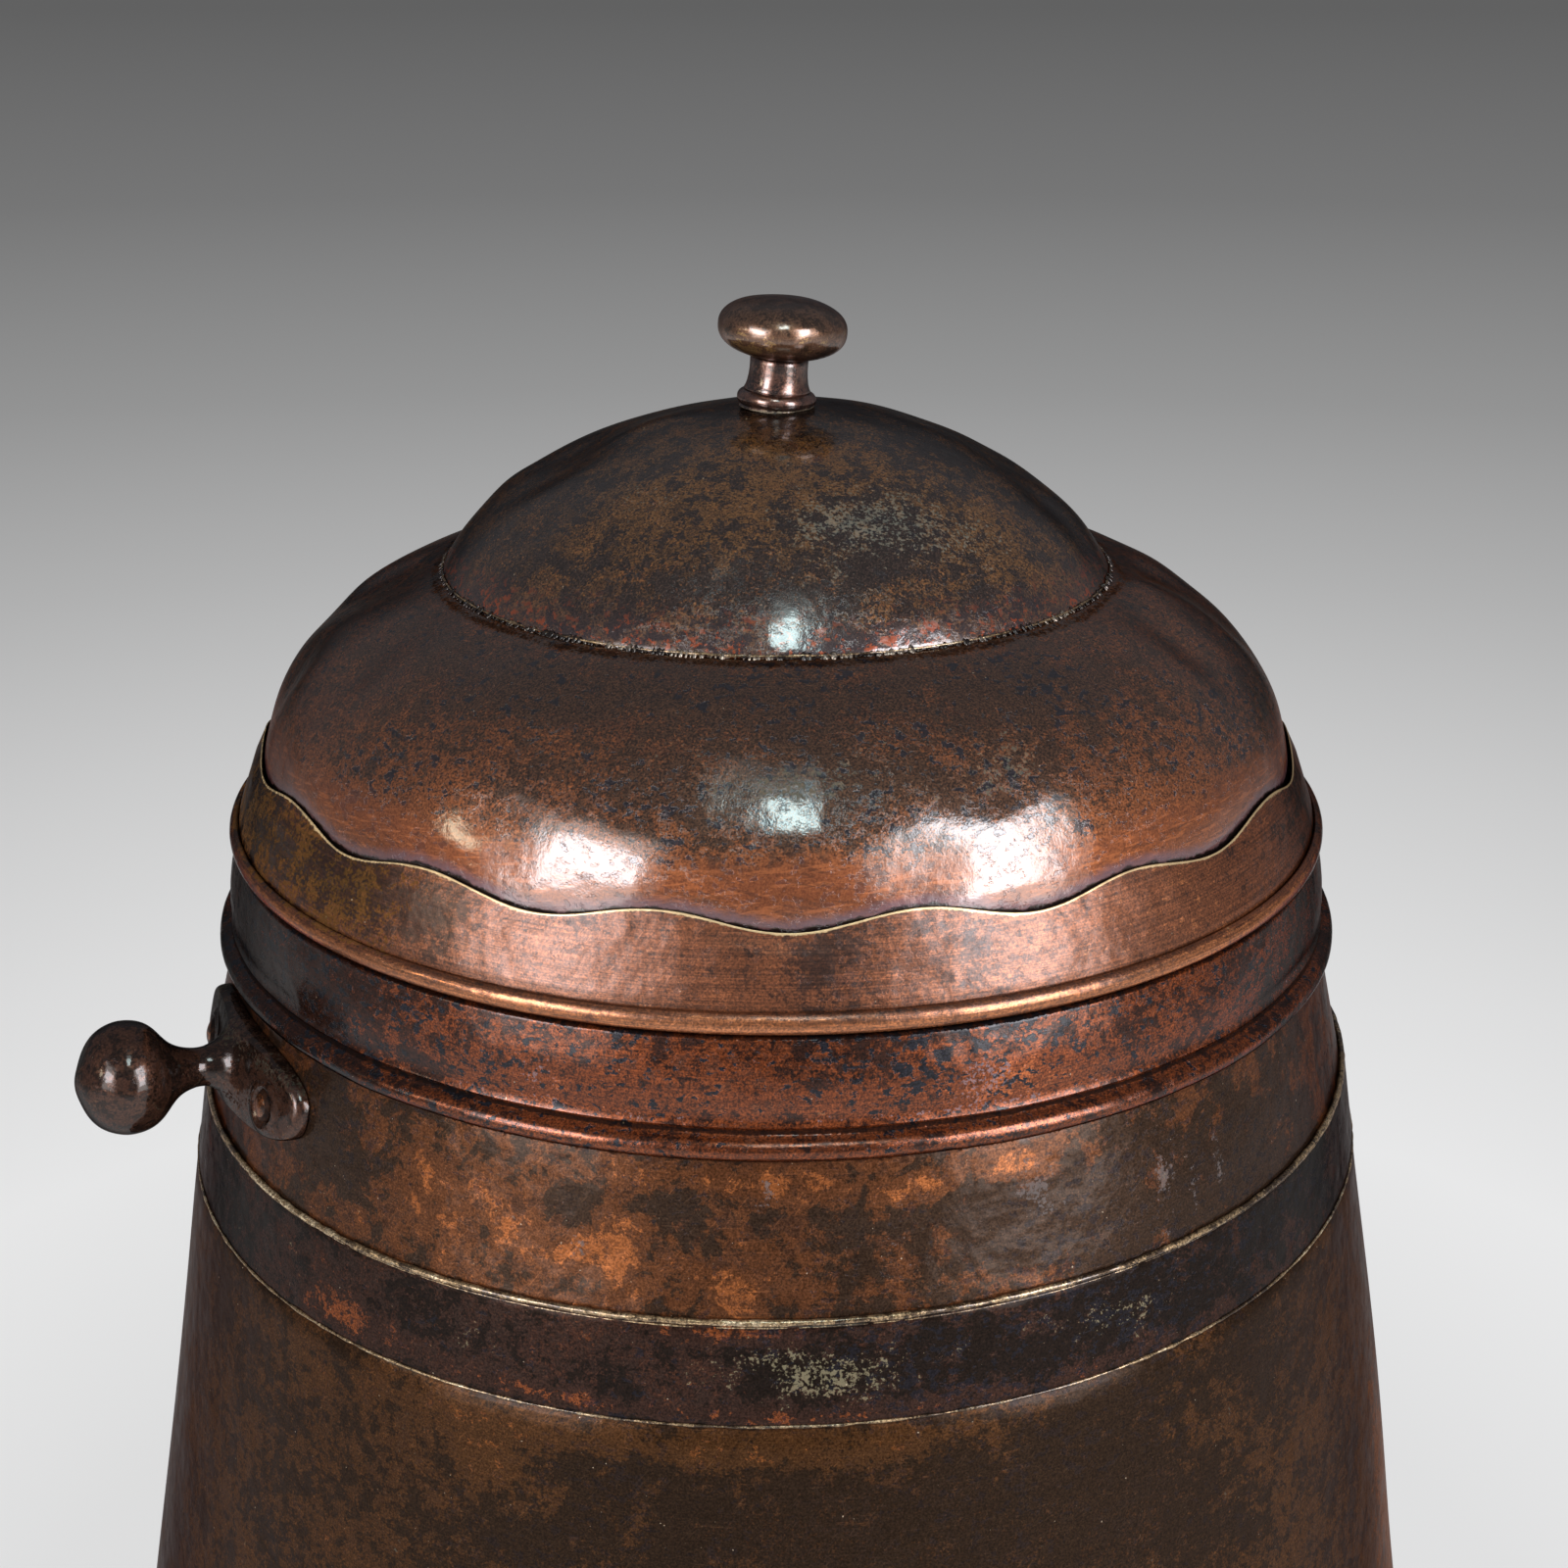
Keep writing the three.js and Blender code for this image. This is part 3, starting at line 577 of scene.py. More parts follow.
ring_tree, given = group("brazing_ring", {
    "Ring radius": ("Float", 0.18), "Ring height": ("Float", 0.28), "Bead radius": ("Float", 0.0006),
    "Raggedness": ("Float", 0.5), "Seed": ("Float", 1.0)})
circle = node(ring_tree, "GeometryNodeCurvePrimitiveCircle",
              {"Resolution": 900, "Radius": given["Ring radius"]})
ragged = node(ring_tree, "ShaderNodeTexNoise", {
    "Vector": node(ring_tree, "GeometryNodeInputPosition"), "W": given["Seed"], "Scale": 160, "Detail": 4},
    noise_dimensions="4D")
swell = calc(ring_tree, "MULTIPLY", calc(ring_tree, "SUBTRACT", ragged, 0.5), 3.0, given["Raggedness"])
thick = calc(ring_tree, "MAXIMUM", calc(ring_tree, "ADD", swell, 1.0), 0.25)
thick = calc(ring_tree, "MULTIPLY", given["Bead radius"], thick)
rise = calc(ring_tree, "MULTIPLY", given["Bead radius"], 0.5, swell)
shift = vector(ring_tree, 0, 0, calc(ring_tree, "ADD", given["Ring height"], rise))
lifted = node(ring_tree, "GeometryNodeSetPosition", {"Geometry": circle, "Offset": shift})
sized = node(ring_tree, "GeometryNodeSetCurveRadius", {"Curve": lifted, "Radius": thick})
section = node(ring_tree, "GeometryNodeCurvePrimitiveCircle", {"Resolution": 8, "Radius": 1.0})
swept = node(ring_tree, "GeometryNodeCurveToMesh", {"Curve": sized, "Profile Curve": section})
if "Scale" in swept.node.inputs:
    ring_tree.links.new(thick, swept.node.inputs["Scale"])
finished(ring_tree, swept, given)


def brazed_ring(name, radius, height, bead, raggedness, seed, body, tilt, sink=0.0):
    """One ragged line of brass round the bin, which sinks by so much away from the front."""
    piece = grown(name, ring_tree, {"Ring radius": radius, "Ring height": height, "Bead radius": bead,
                                    "Raggedness": raggedness, "Seed": float(seed), "Finish": brazing})
    at = places_of(piece)
    if tilt:
        at[:, 2] -= sink * np.clip((np.abs(azimuth(at)) - 22) / 26, 0, 1)
        at = at + strap_tilt(at)
        piece.data.vertices.foreach_set("co", at.ravel())
    piece.data.shade_smooth()
    paint(piece, "rub_and_sheen", beaten(at, seed, 0.15, 0.03, 0.12))
    paint(piece, "bloom_and_sheen", beaten(at, seed + 1, 0.1, 0.03, 0.12))
    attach(piece, body)


strap_edge = wall_radius(strap_top)
brazed_ring("strap_lower_brazing", wall_radius(hem) + 0.05 * mm, hem + 0.1 * mm, 0.4 * mm, 1.0, 2,
            "bin", True)
brazed_ring("strap_upper_edge", strap_edge - 0.2 * mm, strap_top + 0.05 * mm, 0.22 * mm, 0.9, 5, "bin", True)
brazed_ring("strap_upper_brazing", strap_edge - tuck + 0.7 * mm, strap_top + 1.0 * mm, 0.95 * mm, 0.4, 9,
            "bin", True, 0.75 * mm)


# Mouth collar
# A band round the mouth, swaged in one piece: a bead below, a groove, a slight swell, and a ledge
# turned in at the top that the lid's rim sits on. It is brazed to the upper wall.

collar_sheet = 1.2 * mm
# Its pale lilac crust_and_sheen_colour serves for the deposit lines and for a painted sheen on the band.
collar_finish = old_copper("collar_patina", "331a10", "6e3618", "a0562c", crust_and_sheen_colour="857a80", rub_and_sheen=0.03, patch=0.8,
                           mottle=0.55, spots=1.0, bloom_and_sheen=-0.38, brush=0.4, grit=0.9, metal=0.72, rough=0.36,
                           wax=0.35, wax_rough=0.22, edge=0.2)
bead_centre = (173.3 * mm, 330.2 * mm)
collar_face = np.vstack((
    arc(bead_centre, 3.3 * mm, 3.3 * mm, -90, 62, 14),
    arc((174.0 * mm, 334.9 * mm), 1.6 * mm, 1.5 * mm, 235, 140, 4),
    [(172.0 * mm, 337.6 * mm), (172.35 * mm, 340 * mm), (172.4 * mm, 343 * mm), (172.1 * mm, 347 * mm),
     (171.5 * mm, 351 * mm), (170.6 * mm, 355.3 * mm)],
    arc((168.4 * mm, 358.5 * mm), 1.4 * mm, 1.2 * mm, 0, 90, 5),
    [(166.1 * mm, 359.7 * mm)]))


def collar_bends(places):
    """Slight unevenness of the swaged band, with three flat spots."""
    dents = marks(places, [(-8, 343, 14, 8, -0.35), (38, 345, 10, 8, -0.3), (-55, 344, 12, 8, -0.3)])
    return outward(places, beaten(places, 12, 0.12 * mm, 0.03, 0.14) + mm * dents)


mouth_collar = turned("mouth_collar_band", sheet(collar_face, collar_sheet), collar_finish, 320, collar_bends)
at = places_of(mouth_collar)
radius = np.hypot(at[:, 0], at[:, 1])
proud = np.clip((radius - 175.2 * mm) / (1.3 * mm), 0, 1)
# The marks at -20° and 20° are a painted sheen on the band; the rest is wear.
paint(mouth_collar, "rub_and_sheen", marks(at, [
    (0, 343, 60, 12, 0.08), (-20, 343, 18, 10, 0.35), (20, 345, 18, 8, 0.5), (70, 343, 50, 20, -0.2),
    (-62, 343, 50, 20, -0.4)])
    + 0.05 * proud)
paint(mouth_collar, "polish", proud)
# Pale rings of deposit under the lid's bead and over the groove; the patches at 18° and -21° are a painted
# lilac sheen over the pale specks there.
paint(mouth_collar, "bloom_and_sheen", marks(at, [
    (0, 357.3, 900, 1.2, 0.55), (0, 337.2, 900, 1.2, 0.42), (18, 346, 13, 8, 0.66), (-21, 346, 10, 8, 0.58)]))
# Dark rings: dirt in the groove, and a painted shadow along the collar's top, under the lid's bead.
paint(mouth_collar, "grime_and_shade", marks(at, [(0, 334.6, 900, 0.9, 0.75), (0, 359.5, 900, 0.8, 0.5)]))
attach(mouth_collar, "bin")
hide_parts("mouth_collar")


# Ball handles
# Each handle is one bronze casting: a plate bent to the wall, a neck that spreads into it, and a
# slightly pear-shaped ball. Two rivets through the plate hold it, each in a little raised crater.

bronze = old_copper("handle_bronze", "291d18", "4a3126", "875a38", crust_and_sheen_colour="454a40", rub_and_sheen=0.0, patch=0.5,
                    mottle=0.4, spots=0.25, bloom_and_sheen=-0.35, scuff=0.4, grit=0.5, metal=0.65, rough=0.33, wax=0.4,
                    wax_rough=0.08, edge=0.15)
handle_height = 309.2 * mm
handle_tilt = math.radians(5)
handle_turns = {"left": math.radians(208.1), "right": math.radians(29.5)}
rivet_reach = 26 * mm
rivet_lower = 2.7 * mm
plate_half = (12.8 * mm, 43 * mm)
plate_top = 12 * mm
ball_radius = 16.2 * mm
ball_reach = 36.2 * mm
ball_dents = (((0.6, -0.5, -0.3), 9, 0.9), ((0.1, 0.8, 0.5), 5, 0.5), ((-0.5, -0.6, 0.4), 4, 0.35))
tiny = 1e-6
flare = (neck_radius - (wall_radius(strap_top) - tuck)) / (neck_height - strap_top)


def flared_radius(height):
    return neck_radius + flare * (height - neck_height)


def plate_reach(down, across, rise):
    """How far out along the handle a place lies that stands that high over the curved wall."""
    out = np.array(rise, float)
    base = flared_radius(handle_height)
    for _ in range(6):
        x = base + out * math.cos(handle_tilt) + down * math.sin(handle_tilt)
        z = handle_height + out * math.sin(handle_tilt) - down * math.cos(handle_tilt)
        gap = np.hypot(x, across) - flared_radius(z) - rise / math.cos(math.atan(flare))
        out = out - gap / (math.cos(handle_tilt) - flare * math.sin(handle_tilt))
    return out


def cast_handle(name, turn, seed, side):
    """The skin of a handle as rings: ball, neck, plate, the plate's edge and its underside."""
    steps = 200
    angle = np.radians(np.arange(steps) * 360 / steps)
    circle = np.column_stack((np.cos(angle), np.sin(angle)))
    oblong = np.sign(circle) * np.abs(circle) ** (2 / 2.8) * plate_half
    rings = []
    profile = [(0.0, 50.1), (2.5, 49.9), (5.7, 48.7), (9.0, 47.2), (11.5, 45.6), (13.6, 43.6), (15.2, 40.8),
               (16.1, 37.6), (16.2, 35.2), (15.8, 32.2), (14.9, 29.6), (13.4, 27.4), (11.6, 25.6),
               (9.6, 23.6), (7.9, 21.6), (6.7, 19.4), (6.0, 17.2), (5.7, 15.2), (5.75, 13.4)]
    fine = np.linspace(0, len(profile) - 1, 3 * len(profile) - 2)
    profile = np.column_stack([np.interp(fine, range(len(profile)), [p[k] for p in profile]) for k in (0, 1)])
    for _ in range(3):
        profile[1:-1] = (profile[:-2] + 2 * profile[1:-1] + profile[2:]) / 4
    for wide, out in profile * mm:
        rings.append(np.column_stack((circle * wide, np.full(steps, out))))
    inner = circle * 5.9 * mm
    span = np.linalg.norm(oblong - inner, axis=1)
    edge = 2.6 * mm
    ways = [np.full(steps, s) * (1 - edge / span) for s in np.linspace(0, 1, 34) ** 1.15]
    ways += [1 - e * mm / span for e in (2.1, 1.6, 1.1, 0.7, 0.35, 0.1, 0.0)]
    side_height = 1.4 * mm
    for way in ways:
        flat = inner * (1 - way)[:, None] + oblong * way[:, None]
        far = np.hypot(flat[:, 0], flat[:, 1]) / mm
        rise = np.interp(far, [5.9, 6.6, 7.6, 9.2, 11.5, 14.5, 18.5, 24, 34, 43],
                         [12.2, 10.2, 8.6, 7.2, 6.1, 5.35, 4.8, 4.4, 4.2, 4.1]) * mm
        near = np.clip((1 - way) * span / edge, 0, 1)
        rise = rise - (rise - side_height) * (1 - np.sqrt(1 - (1 - near) ** 2))
        for place in (-1, 1):
            spot = np.hypot(flat[:, 0] - rivet_lower, flat[:, 1] - place * rivet_reach) / mm
            rise += (0.75 * np.exp(-((spot - 6.3) / 1.1) ** 2) - 0.8 * np.exp(-(spot / 4.6) ** 6)) * mm * near
        out = plate_reach(flat[:, 0], flat[:, 1], rise)
        level = np.clip((rise / mm - 7) / 5.5, 0, 1)
        rings.append(np.column_stack((flat, out * (1 - level) + (rise + 0.15 * mm) * level)))
    low = 0.35 * mm
    for share in (1.0, 0.85, 0.6, 0.3):
        rings.append(np.column_stack((oblong * share, plate_reach(oblong[:, 0] * share, oblong[:, 1] * share,
                                                                  np.full(steps, low)))))
    under = plate_reach(np.zeros(1), np.zeros(1), np.full(1, low))[0]
    places = np.vstack([rings[0][:1]] + rings[1:] + [[[0, 0, under]]])
    faces = []
    count = len(rings) - 1
    for j in range(steps):
        k = (j + 1) % steps
        faces.append((0, 1 + j, 1 + k))
        for i in range(count - 1):
            first, second = 1 + i * steps, 1 + (i + 1) * steps
            faces.append((first + j, second + j, second + k, first + k))
        last = 1 + (count - 1) * steps
        faces.append((last + j, len(places) - 1, last + k))
    free = np.clip((places[:, 2] / mm - 12) / 14, 0.25, 1)
    lump = beaten(places, seed, 0.22 * mm, 0.012, 0.035) * free
    far = places - np.array((0, 0, ball_reach))
    length = np.maximum(np.linalg.norm(far, axis=1), tiny)
    for way, size, depth in ball_dents:
        spot = np.array(way) / np.linalg.norm(way) * ball_radius
        dent = np.exp(-(np.linalg.norm(far - spot, axis=1) / (size * mm)) ** 2)
        lump -= depth * mm * dent * (places[:, 2] > 20 * mm)
    ball = places[:, 2] > 16.5 * mm
    out = np.where(ball[:, None], far / length[:, None], np.array((0, 0, 1.0)))
    edge_free = np.ones(len(places))
    edge_free[1 + (count - 6) * steps:] = 0
    places = places + out * (lump * edge_free)[:, None]
    foot = (flared_radius(handle_height), 0, handle_height)
    lay = Matrix.Rotation(turn, 4, "Z") @ Matrix.Translation(foot)
    lay = np.array(lay @ Matrix.Rotation(math.pi / 2 - handle_tilt, 4, "Y"))
    placed = places @ lay[:3, :3].T + lay[:3, 3]
    piece = mesh_object(name, placed, faces, bronze)
    down, across, height = places.T
    on_plate = height < plate_top
    paint(piece, "rub_and_sheen", np.where(on_plate, 0.12 * np.exp(-((down - 4 * mm) / (7 * mm)) ** 2), 0.0) + 0.02)
    paint(piece, "bloom_and_sheen", np.where(on_plate, 0.55 * np.exp(-((down + 9 * mm) / (4.5 * mm)) ** 2), 0.0))
    margin = np.minimum(plate_half[0] - np.abs(down), plate_half[1] - np.abs(across))
    paint(piece, "grime_and_shade", np.where(on_plate, 0.3 * np.clip((margin - 1.5 * mm) / (3 * mm), 0, 1), 0.0))
    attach(piece, "bin")
    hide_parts("handle_" + side)


cast_handle("handle_left_casting", handle_turns["left"], 21, "left")
cast_handle("handle_right_casting", handle_turns["right"], 34, "right")


# Handle rivets
# Round-headed rivets go from the plate through the wall, and are hammered over a burr inside. All
# eight pieces repeat two turned shapes, set at the four rivet places and facing out of the wall.

rivet_finish = old_copper("rivet_bronze", "33221a", "7a4a2c", "c4824a", crust_and_sheen_colour="54605c", rub_and_sheen=0.05, grit=0.5,
                          bloom_and_sheen=-0.25, metal=0.8, rough=0.3, wax=0.4)
rivet_tree, given = group("repeated_at_rivets", {
    "Shape": ("Object", None), "Half spread": ("Float", 0.147), "Height": ("Float", 0.3065),
    "Wall radius": ("Float", 0.178), "Lean": ("Float", 0.23), "Left turn": ("Float", 3.6),
    "Right turn": ("Float", 0.5)})


def round_place(tree, turn, radius, height):
    """The place at that turn about the bin's axis, that far out and that high."""
    across, along = (calc(tree, "MULTIPLY", calc(tree, way, turn), radius) for way in ("COSINE", "SINE"))
    return vector(tree, across, along, height)


def repeated(tree, count, place, shape, facing, size=(1, 1, 1)):
    """Copies of one shape, each at its own place and facing its own way."""
    line = node(tree, "GeometryNodeMeshLine", {"Count": count})
    points = node(tree, "GeometryNodeSetPosition", {"Geometry": line, "Position": place})
    return node(tree, "GeometryNodeInstanceOnPoints",
                {"Points": points, "Instance": shape, "Rotation": facing, "Scale": size})


index = node(rivet_tree, "GeometryNodeInputIndex")
on_right = calc(rivet_tree, "GREATER_THAN", index, 1.5)
sign = calc(rivet_tree, "MULTIPLY", calc(rivet_tree, "MODULO", index, 2.0), 2.0)
sign = calc(rivet_tree, "SUBTRACT", sign, 1.0)
turn = calc(rivet_tree, "ADD", calc(rivet_tree, "MULTIPLY", on_right, given["Right turn"]),
            calc(rivet_tree, "MULTIPLY", calc(rivet_tree, "SUBTRACT", 1.0, on_right), given["Left turn"]))
turn = calc(rivet_tree, "ADD", calc(rivet_tree, "MULTIPLY", sign, given["Half spread"]), turn)
facing = vector(rivet_tree, 0, calc(rivet_tree, "SUBTRACT", math.pi / 2, given["Lean"]), turn)
shape = node(rivet_tree, "GeometryNodeObjectInfo", {"Object": given["Shape"]}).node.outputs["Geometry"]
place = round_place(rivet_tree, turn, given["Wall radius"], given["Height"])
finished(rivet_tree, repeated(rivet_tree, 4, place, shape, facing), given)


def at_rivets(name, outline, finish, seed, nodes):
    """Turns one outline and repeats it at the four rivets."""
    def hammered(places):
        return np.outer(beaten(places, seed, 0.12 * mm, 0.006, 0.014), (0, 0, 1)) * (places[:, 2:] > 3 * mm)

    pattern = turned(name + "_pattern", outline, finish, 40, hammered)
    far = np.hypot(*places_of(pattern)[:, :2].T)
    rivet_height = handle_height - rivet_lower
    reach = flared_radius(rivet_height)
    piece = grown(name, rivet_tree, {
        "Shape": pattern, "Half spread": rivet_reach / reach, "Height": rivet_height, "Wall radius": reach,
        "Lean": math.atan(-flare), "Left turn": handle_turns["left"], "Right turn": handle_turns["right"],
        "Finish": finish})
    bpy.data.objects.remove(pattern)
    smooth(piece)
    paint(piece, "rub_and_sheen", np.full(len(piece.data.vertices), 0.05))
    # Darkens each piece outside 2.9 mm from its axis: a dark ring round the margin of each rivet head.
    paint(piece, "grime_and_shade", 0.8 * np.clip((np.tile(far, 4) - 2.9 * mm) / (0.7 * mm), 0, 1))
    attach(piece, "bin")
    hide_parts(*nodes)


shank_radius = 2.6 * mm
head_foot = 3.4 * mm
tail_foot = -3.8 * mm
head = arc((0, 4.15 * mm), 4.7 * mm, 2.1 * mm, 0, 90, 9)
tail = arc((0, tail_foot), 4.3 * mm, 1.9 * mm, -90, 0, 6)
head[-1, 0] = 0
tail[0, 0] = 0
shank = [(shank_radius, tail_foot), (shank_radius, head_foot), (4.3 * mm, head_foot)]
burr = np.array([(2.9, -3.5), (5.6, -3.5), (6.0, -3.2), (6.0, -2.6), (5.7, -2.3), (2.9, -2.3)]) * mm
at_rivets("handle_rivets", np.vstack((tail, shank, head)), rivet_finish, 5,
          ["rivet_left_front", "rivet_left_back", "rivet_right_front", "rivet_right_back"])
at_rivets("rivet_burrs", burr, upper_finish, 6,
          ["burr_left_front", "burr_left_back", "burr_right_front", "burr_right_back"])


# Lid shoulder
# The lid's lower dome, raised from one sheet with a hammer. It drops into the mouth as a straight
# spigot, and its top is turned up inside the crown, where the two are brazed.

lid_sheet = 1.2 * mm
skirt_top = 386.95 * mm
wave_height = 2.25 * mm
wave_count = 15.0
first_trough = math.radians(1)


def waved_lift(tree, where):
    """How far the waved edge of the skirt stands over its middle height, at each place round the lid."""
    axes = node(tree, "ShaderNodeSeparateXYZ", {0: where}).node.outputs
    turn = calc(tree, "ARCTAN2", axes[0], calc(tree, "MULTIPLY", axes[1], -1.0))
    turn = calc(tree, "MULTIPLY", calc(tree, "SUBTRACT", turn, first_trough), wave_count)
    hand = speckle(tree, where, 14, 2, 0.5)
    swing = fade(tree, hand, 0.3, 0.7, -1.1 * wave_height, -0.9 * wave_height)
    wave = calc(tree, "MULTIPLY", calc(tree, "COSINE", total(tree, turn, (hand, 1.0))), swing)
    return total(tree, wave, calc(tree, "MULTIPLY", axes[0], -0.004))


def skirt_strokes_dirt_and_shadow(tree, where, colour):
    """Lays polishing strokes low on the shoulder, pale dirt over the skirt's edge and a painted shadow just
    above it.
    """
    axes = node(tree, "ShaderNodeSeparateXYZ", {0: where}).node.outputs
    low = total(tree, axes[2], (speckle(tree, where, 40, 3, 0.6), 12 * mm))
    low = fade(tree, low, 396 * mm, 404 * mm, 1, 0)
    colour = tint(tree, calc(tree, "MULTIPLY", low, 0.5), colour, srgb("86492a"))
    for tilt, shine in ((0.12, "b56a3c"), (-0.2, "4a2c1e")):
        strokes = speckle(tree, where, 1, 2, 0.55, stretch=(110, 110, 950), bend=0.3, turn=(tilt, tilt, 0))
        strokes = calc(tree, "MULTIPLY", fade(tree, strokes, 0.55, 0.62, 0, 0.45), low)
        colour = tint(tree, strokes, colour, srgb(shine))
    over = calc(tree, "SUBTRACT", calc(tree, "SUBTRACT", axes[2], waved_lift(tree, where)), skirt_top)
    over = total(tree, over, (speckle(tree, where, 260, 4, 0.6), 3.2 * mm))
    colour = tint(tree, fade(tree, over, 1.0 * mm, 4.4 * mm, 0.75, 0), colour, srgb("6a555e"))
    # A painted shadow: a black line just above the skirt's waved edge.
    return tint(tree, fade(tree, over, 0.2 * mm, 1.0 * mm, 0.95, 0), colour, srgb("17120f"))


shoulder_finish = old_copper("shoulder_patina", "422c1e", "6f4023", "8e5028", crust_and_sheen_colour="66665a", rub_and_sheen=-0.05,
                             patch=0.6, mottle=0.6, spots=0.9, bloom_and_sheen=-0.28, brush=0.12, dents=0.5, metal=0.55,
                             rough=0.44, wax=1.0, wax_rough=0.12, edge=0.3, over=skirt_strokes_dirt_and_shadow)
shoulder_middle = (81.2 * mm, 380 * mm)
crown_middle = 411 * mm
crown_radius = 110.2 * mm
crown_rise = 76.2 * mm
seam_radius = 102.2 * mm
spigot_radius = 163.4 * mm
lap = lid_sheet + 0.3 * mm
crown_start = math.degrees(math.acos(seam_radius / crown_radius))
crown_face = arc((0, crown_middle), crown_radius, crown_rise, crown_start, 90, 70)
crown_face[-1, 0] = 0
way = (crown_face[6] - crown_face[0]) / np.linalg.norm(crown_face[6] - crown_face[0])
inwards = np.array((-way[1], way[0]))
shoulder_face = np.vstack((
    run((spigot_radius, 345 * mm), (spigot_radius, 366 * mm), 14),
    run((spigot_radius, 366 * mm), (160.2 * mm, 377 * mm), 6),
    arc(shoulder_middle, 78.07 * mm, 61.58 * mm, -1, 73.9, 72),
    crown_face[0] - way * 0.6 * mm + inwards * lap,
    crown_face[4] + inwards * lap, crown_face[8] + inwards * lap))


def shoulder_bends(places):
    """Hammer marks and dents, which show best near the lid's outline."""
    radius = np.hypot(places[:, 0], places[:, 1])
    out = beaten(places, 41, 0.20 * mm, 0.022, 0.07, 24) + beaten(places, 42, 0.25 * mm, 0.08, 0.2)
    out += mm * marks(places, [
        (-88, 432, 16, 8, -1.6), (-102, 424, 12, 7, 0.9), (92, 434, 12, 6, -1.6), (80, 437, 9, 5, 0.8),
        (-62, 425, 12, 8, -2.0), (-80, 408, 14, 14, -1.8), (-96, 430, 12, 10, -1.8), (66, 428, 12, 9, -1.8),
        (88, 420, 12, 14, -1.6), (-30, 405, 9, 7, -0.5), (-5, 416, 6, 5, -0.35), (4, 410, 5, 4, 0.25),
        (22, 415, 9, 7, -0.5), (150, 415, 16, 14, -1.2), (-150, 400, 14, 12, -1.0)])
    out *= np.clip((places[:, 2] - 384 * mm) / 0.01, 0, 1)
    away = np.column_stack((radius - shoulder_middle[0], places[:, 2] - shoulder_middle[1]))
    away /= np.linalg.norm(away, axis=1)[:, None]
    out *= np.clip((radius - seam_radius) / 0.012, 0, 1)
    return outward(places, away[:, 0] * out, away[:, 1] * out)


seam_low = crown_face[0, 1] - 1.0 * mm
lid_shoulder = turned("lid_shoulder_dome", sheet(shoulder_face, lid_sheet), [shoulder_finish, sooty], 340,
                      shoulder_bends)
line_inside(lid_shoulder, 365 * mm)
at = places_of(lid_shoulder)
radius = np.hypot(at[:, 0], at[:, 1])
low = np.clip((410 * mm - at[:, 2]) / 0.02, 0, 1)
paint(lid_shoulder, "rub_and_sheen", 0.3 * low + marks(at, [
    (-40, 402, 24, 12, 0.25), (-66, 395, 30, 20, 0.05), (-16, 402, 20, 8, 0.15), (-4, 396, 26, 5, 0.2),
    (10, 398, 24, 6, 0.2), (30, 396, 30, 8, 0.2), (44, 404, 20, 12, 0.2), (0, 433, 70, 5, -0.2),
    (-30, 431, 40, 6, -0.15), (30, 430, 40, 6, -0.15), (4, 415, 20, 8, -0.3), (-60, 428, 30, 10, -0.1),
    (-13, 418, 18, 6, -0.1), (20, 411, 12, 6, -0.15)]))
paint(lid_shoulder, "bloom_and_sheen", marks(at, [
    (6, 419, 18, 7, 0.42), (18, 414, 16, 6, 0.3), (-6, 411, 5, 4, 0.3), (-3, 417, 16, 3.5, 0.4),
    # On this line the mark at 27° is pale deposit that also stands for a painted sheen between the
    # highlights.
    (-10, 424, 16, 5, 0.25), (27, 419, 16, 7, 0.42), (40, 414, 12, 8, 0.2), (-60, 420, 30, 10, 0.2),
    (-30, 415, 16, 6, 0.15), (120, 410, 30, 14, 0.3)]))
# A painted shadow in a narrow band just under the crown's seam.
paint(lid_shoulder, "grime_and_shade", 0.45 * np.exp(-((at[:, 2] - seam_low) / (0.8 * mm)) ** 2))
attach(lid_shoulder, "lid")
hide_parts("lid_shoulder")


# Lid crown
# The lid's upper dome, hammered up from a disc. Its edge was cut into small teeth and brazed down
# over the shoulder's flange, and the knob's stud goes through its middle.


def crown_flakes(tree, where, colour):
    """Lays bare flakes on a dark violet oxide in a band over the seam."""
    height = node(tree, "ShaderNodeSeparateXYZ", {0: where}).node.outputs[2]
    low = total(tree, height, (speckle(tree, where, 60, 4, 0.6), 14 * mm))
    low = fade(tree, low, 440 * mm, 452 * mm, 1, 0)
    colour = tint(tree, calc(tree, "MULTIPLY", low, 0.6), colour, srgb("372d31"))
    flakes = speckle(tree, where, 360, 5, 0.7, stretch=(1, 1, 1.3), bend=0.3)
    flakes = calc(tree, "MULTIPLY", fade(tree, flakes, 0.55, 0.58), low)
    return tint(tree, flakes, colour, srgb("8a4022"))


crown_finish = old_copper("crown_patina", "332721", "6c4a29", "8e4c26", crust_and_sheen_colour="74766c", rub_and_sheen=-0.1, patch=0.9,
                          mottle=0.7, spots=0.5, bloom_and_sheen=-0.24, dents=0.7, metal=0.55, rough=0.44, wax=1.0,
                          wax_rough=0.12, edge=0.3, over=crown_flakes)


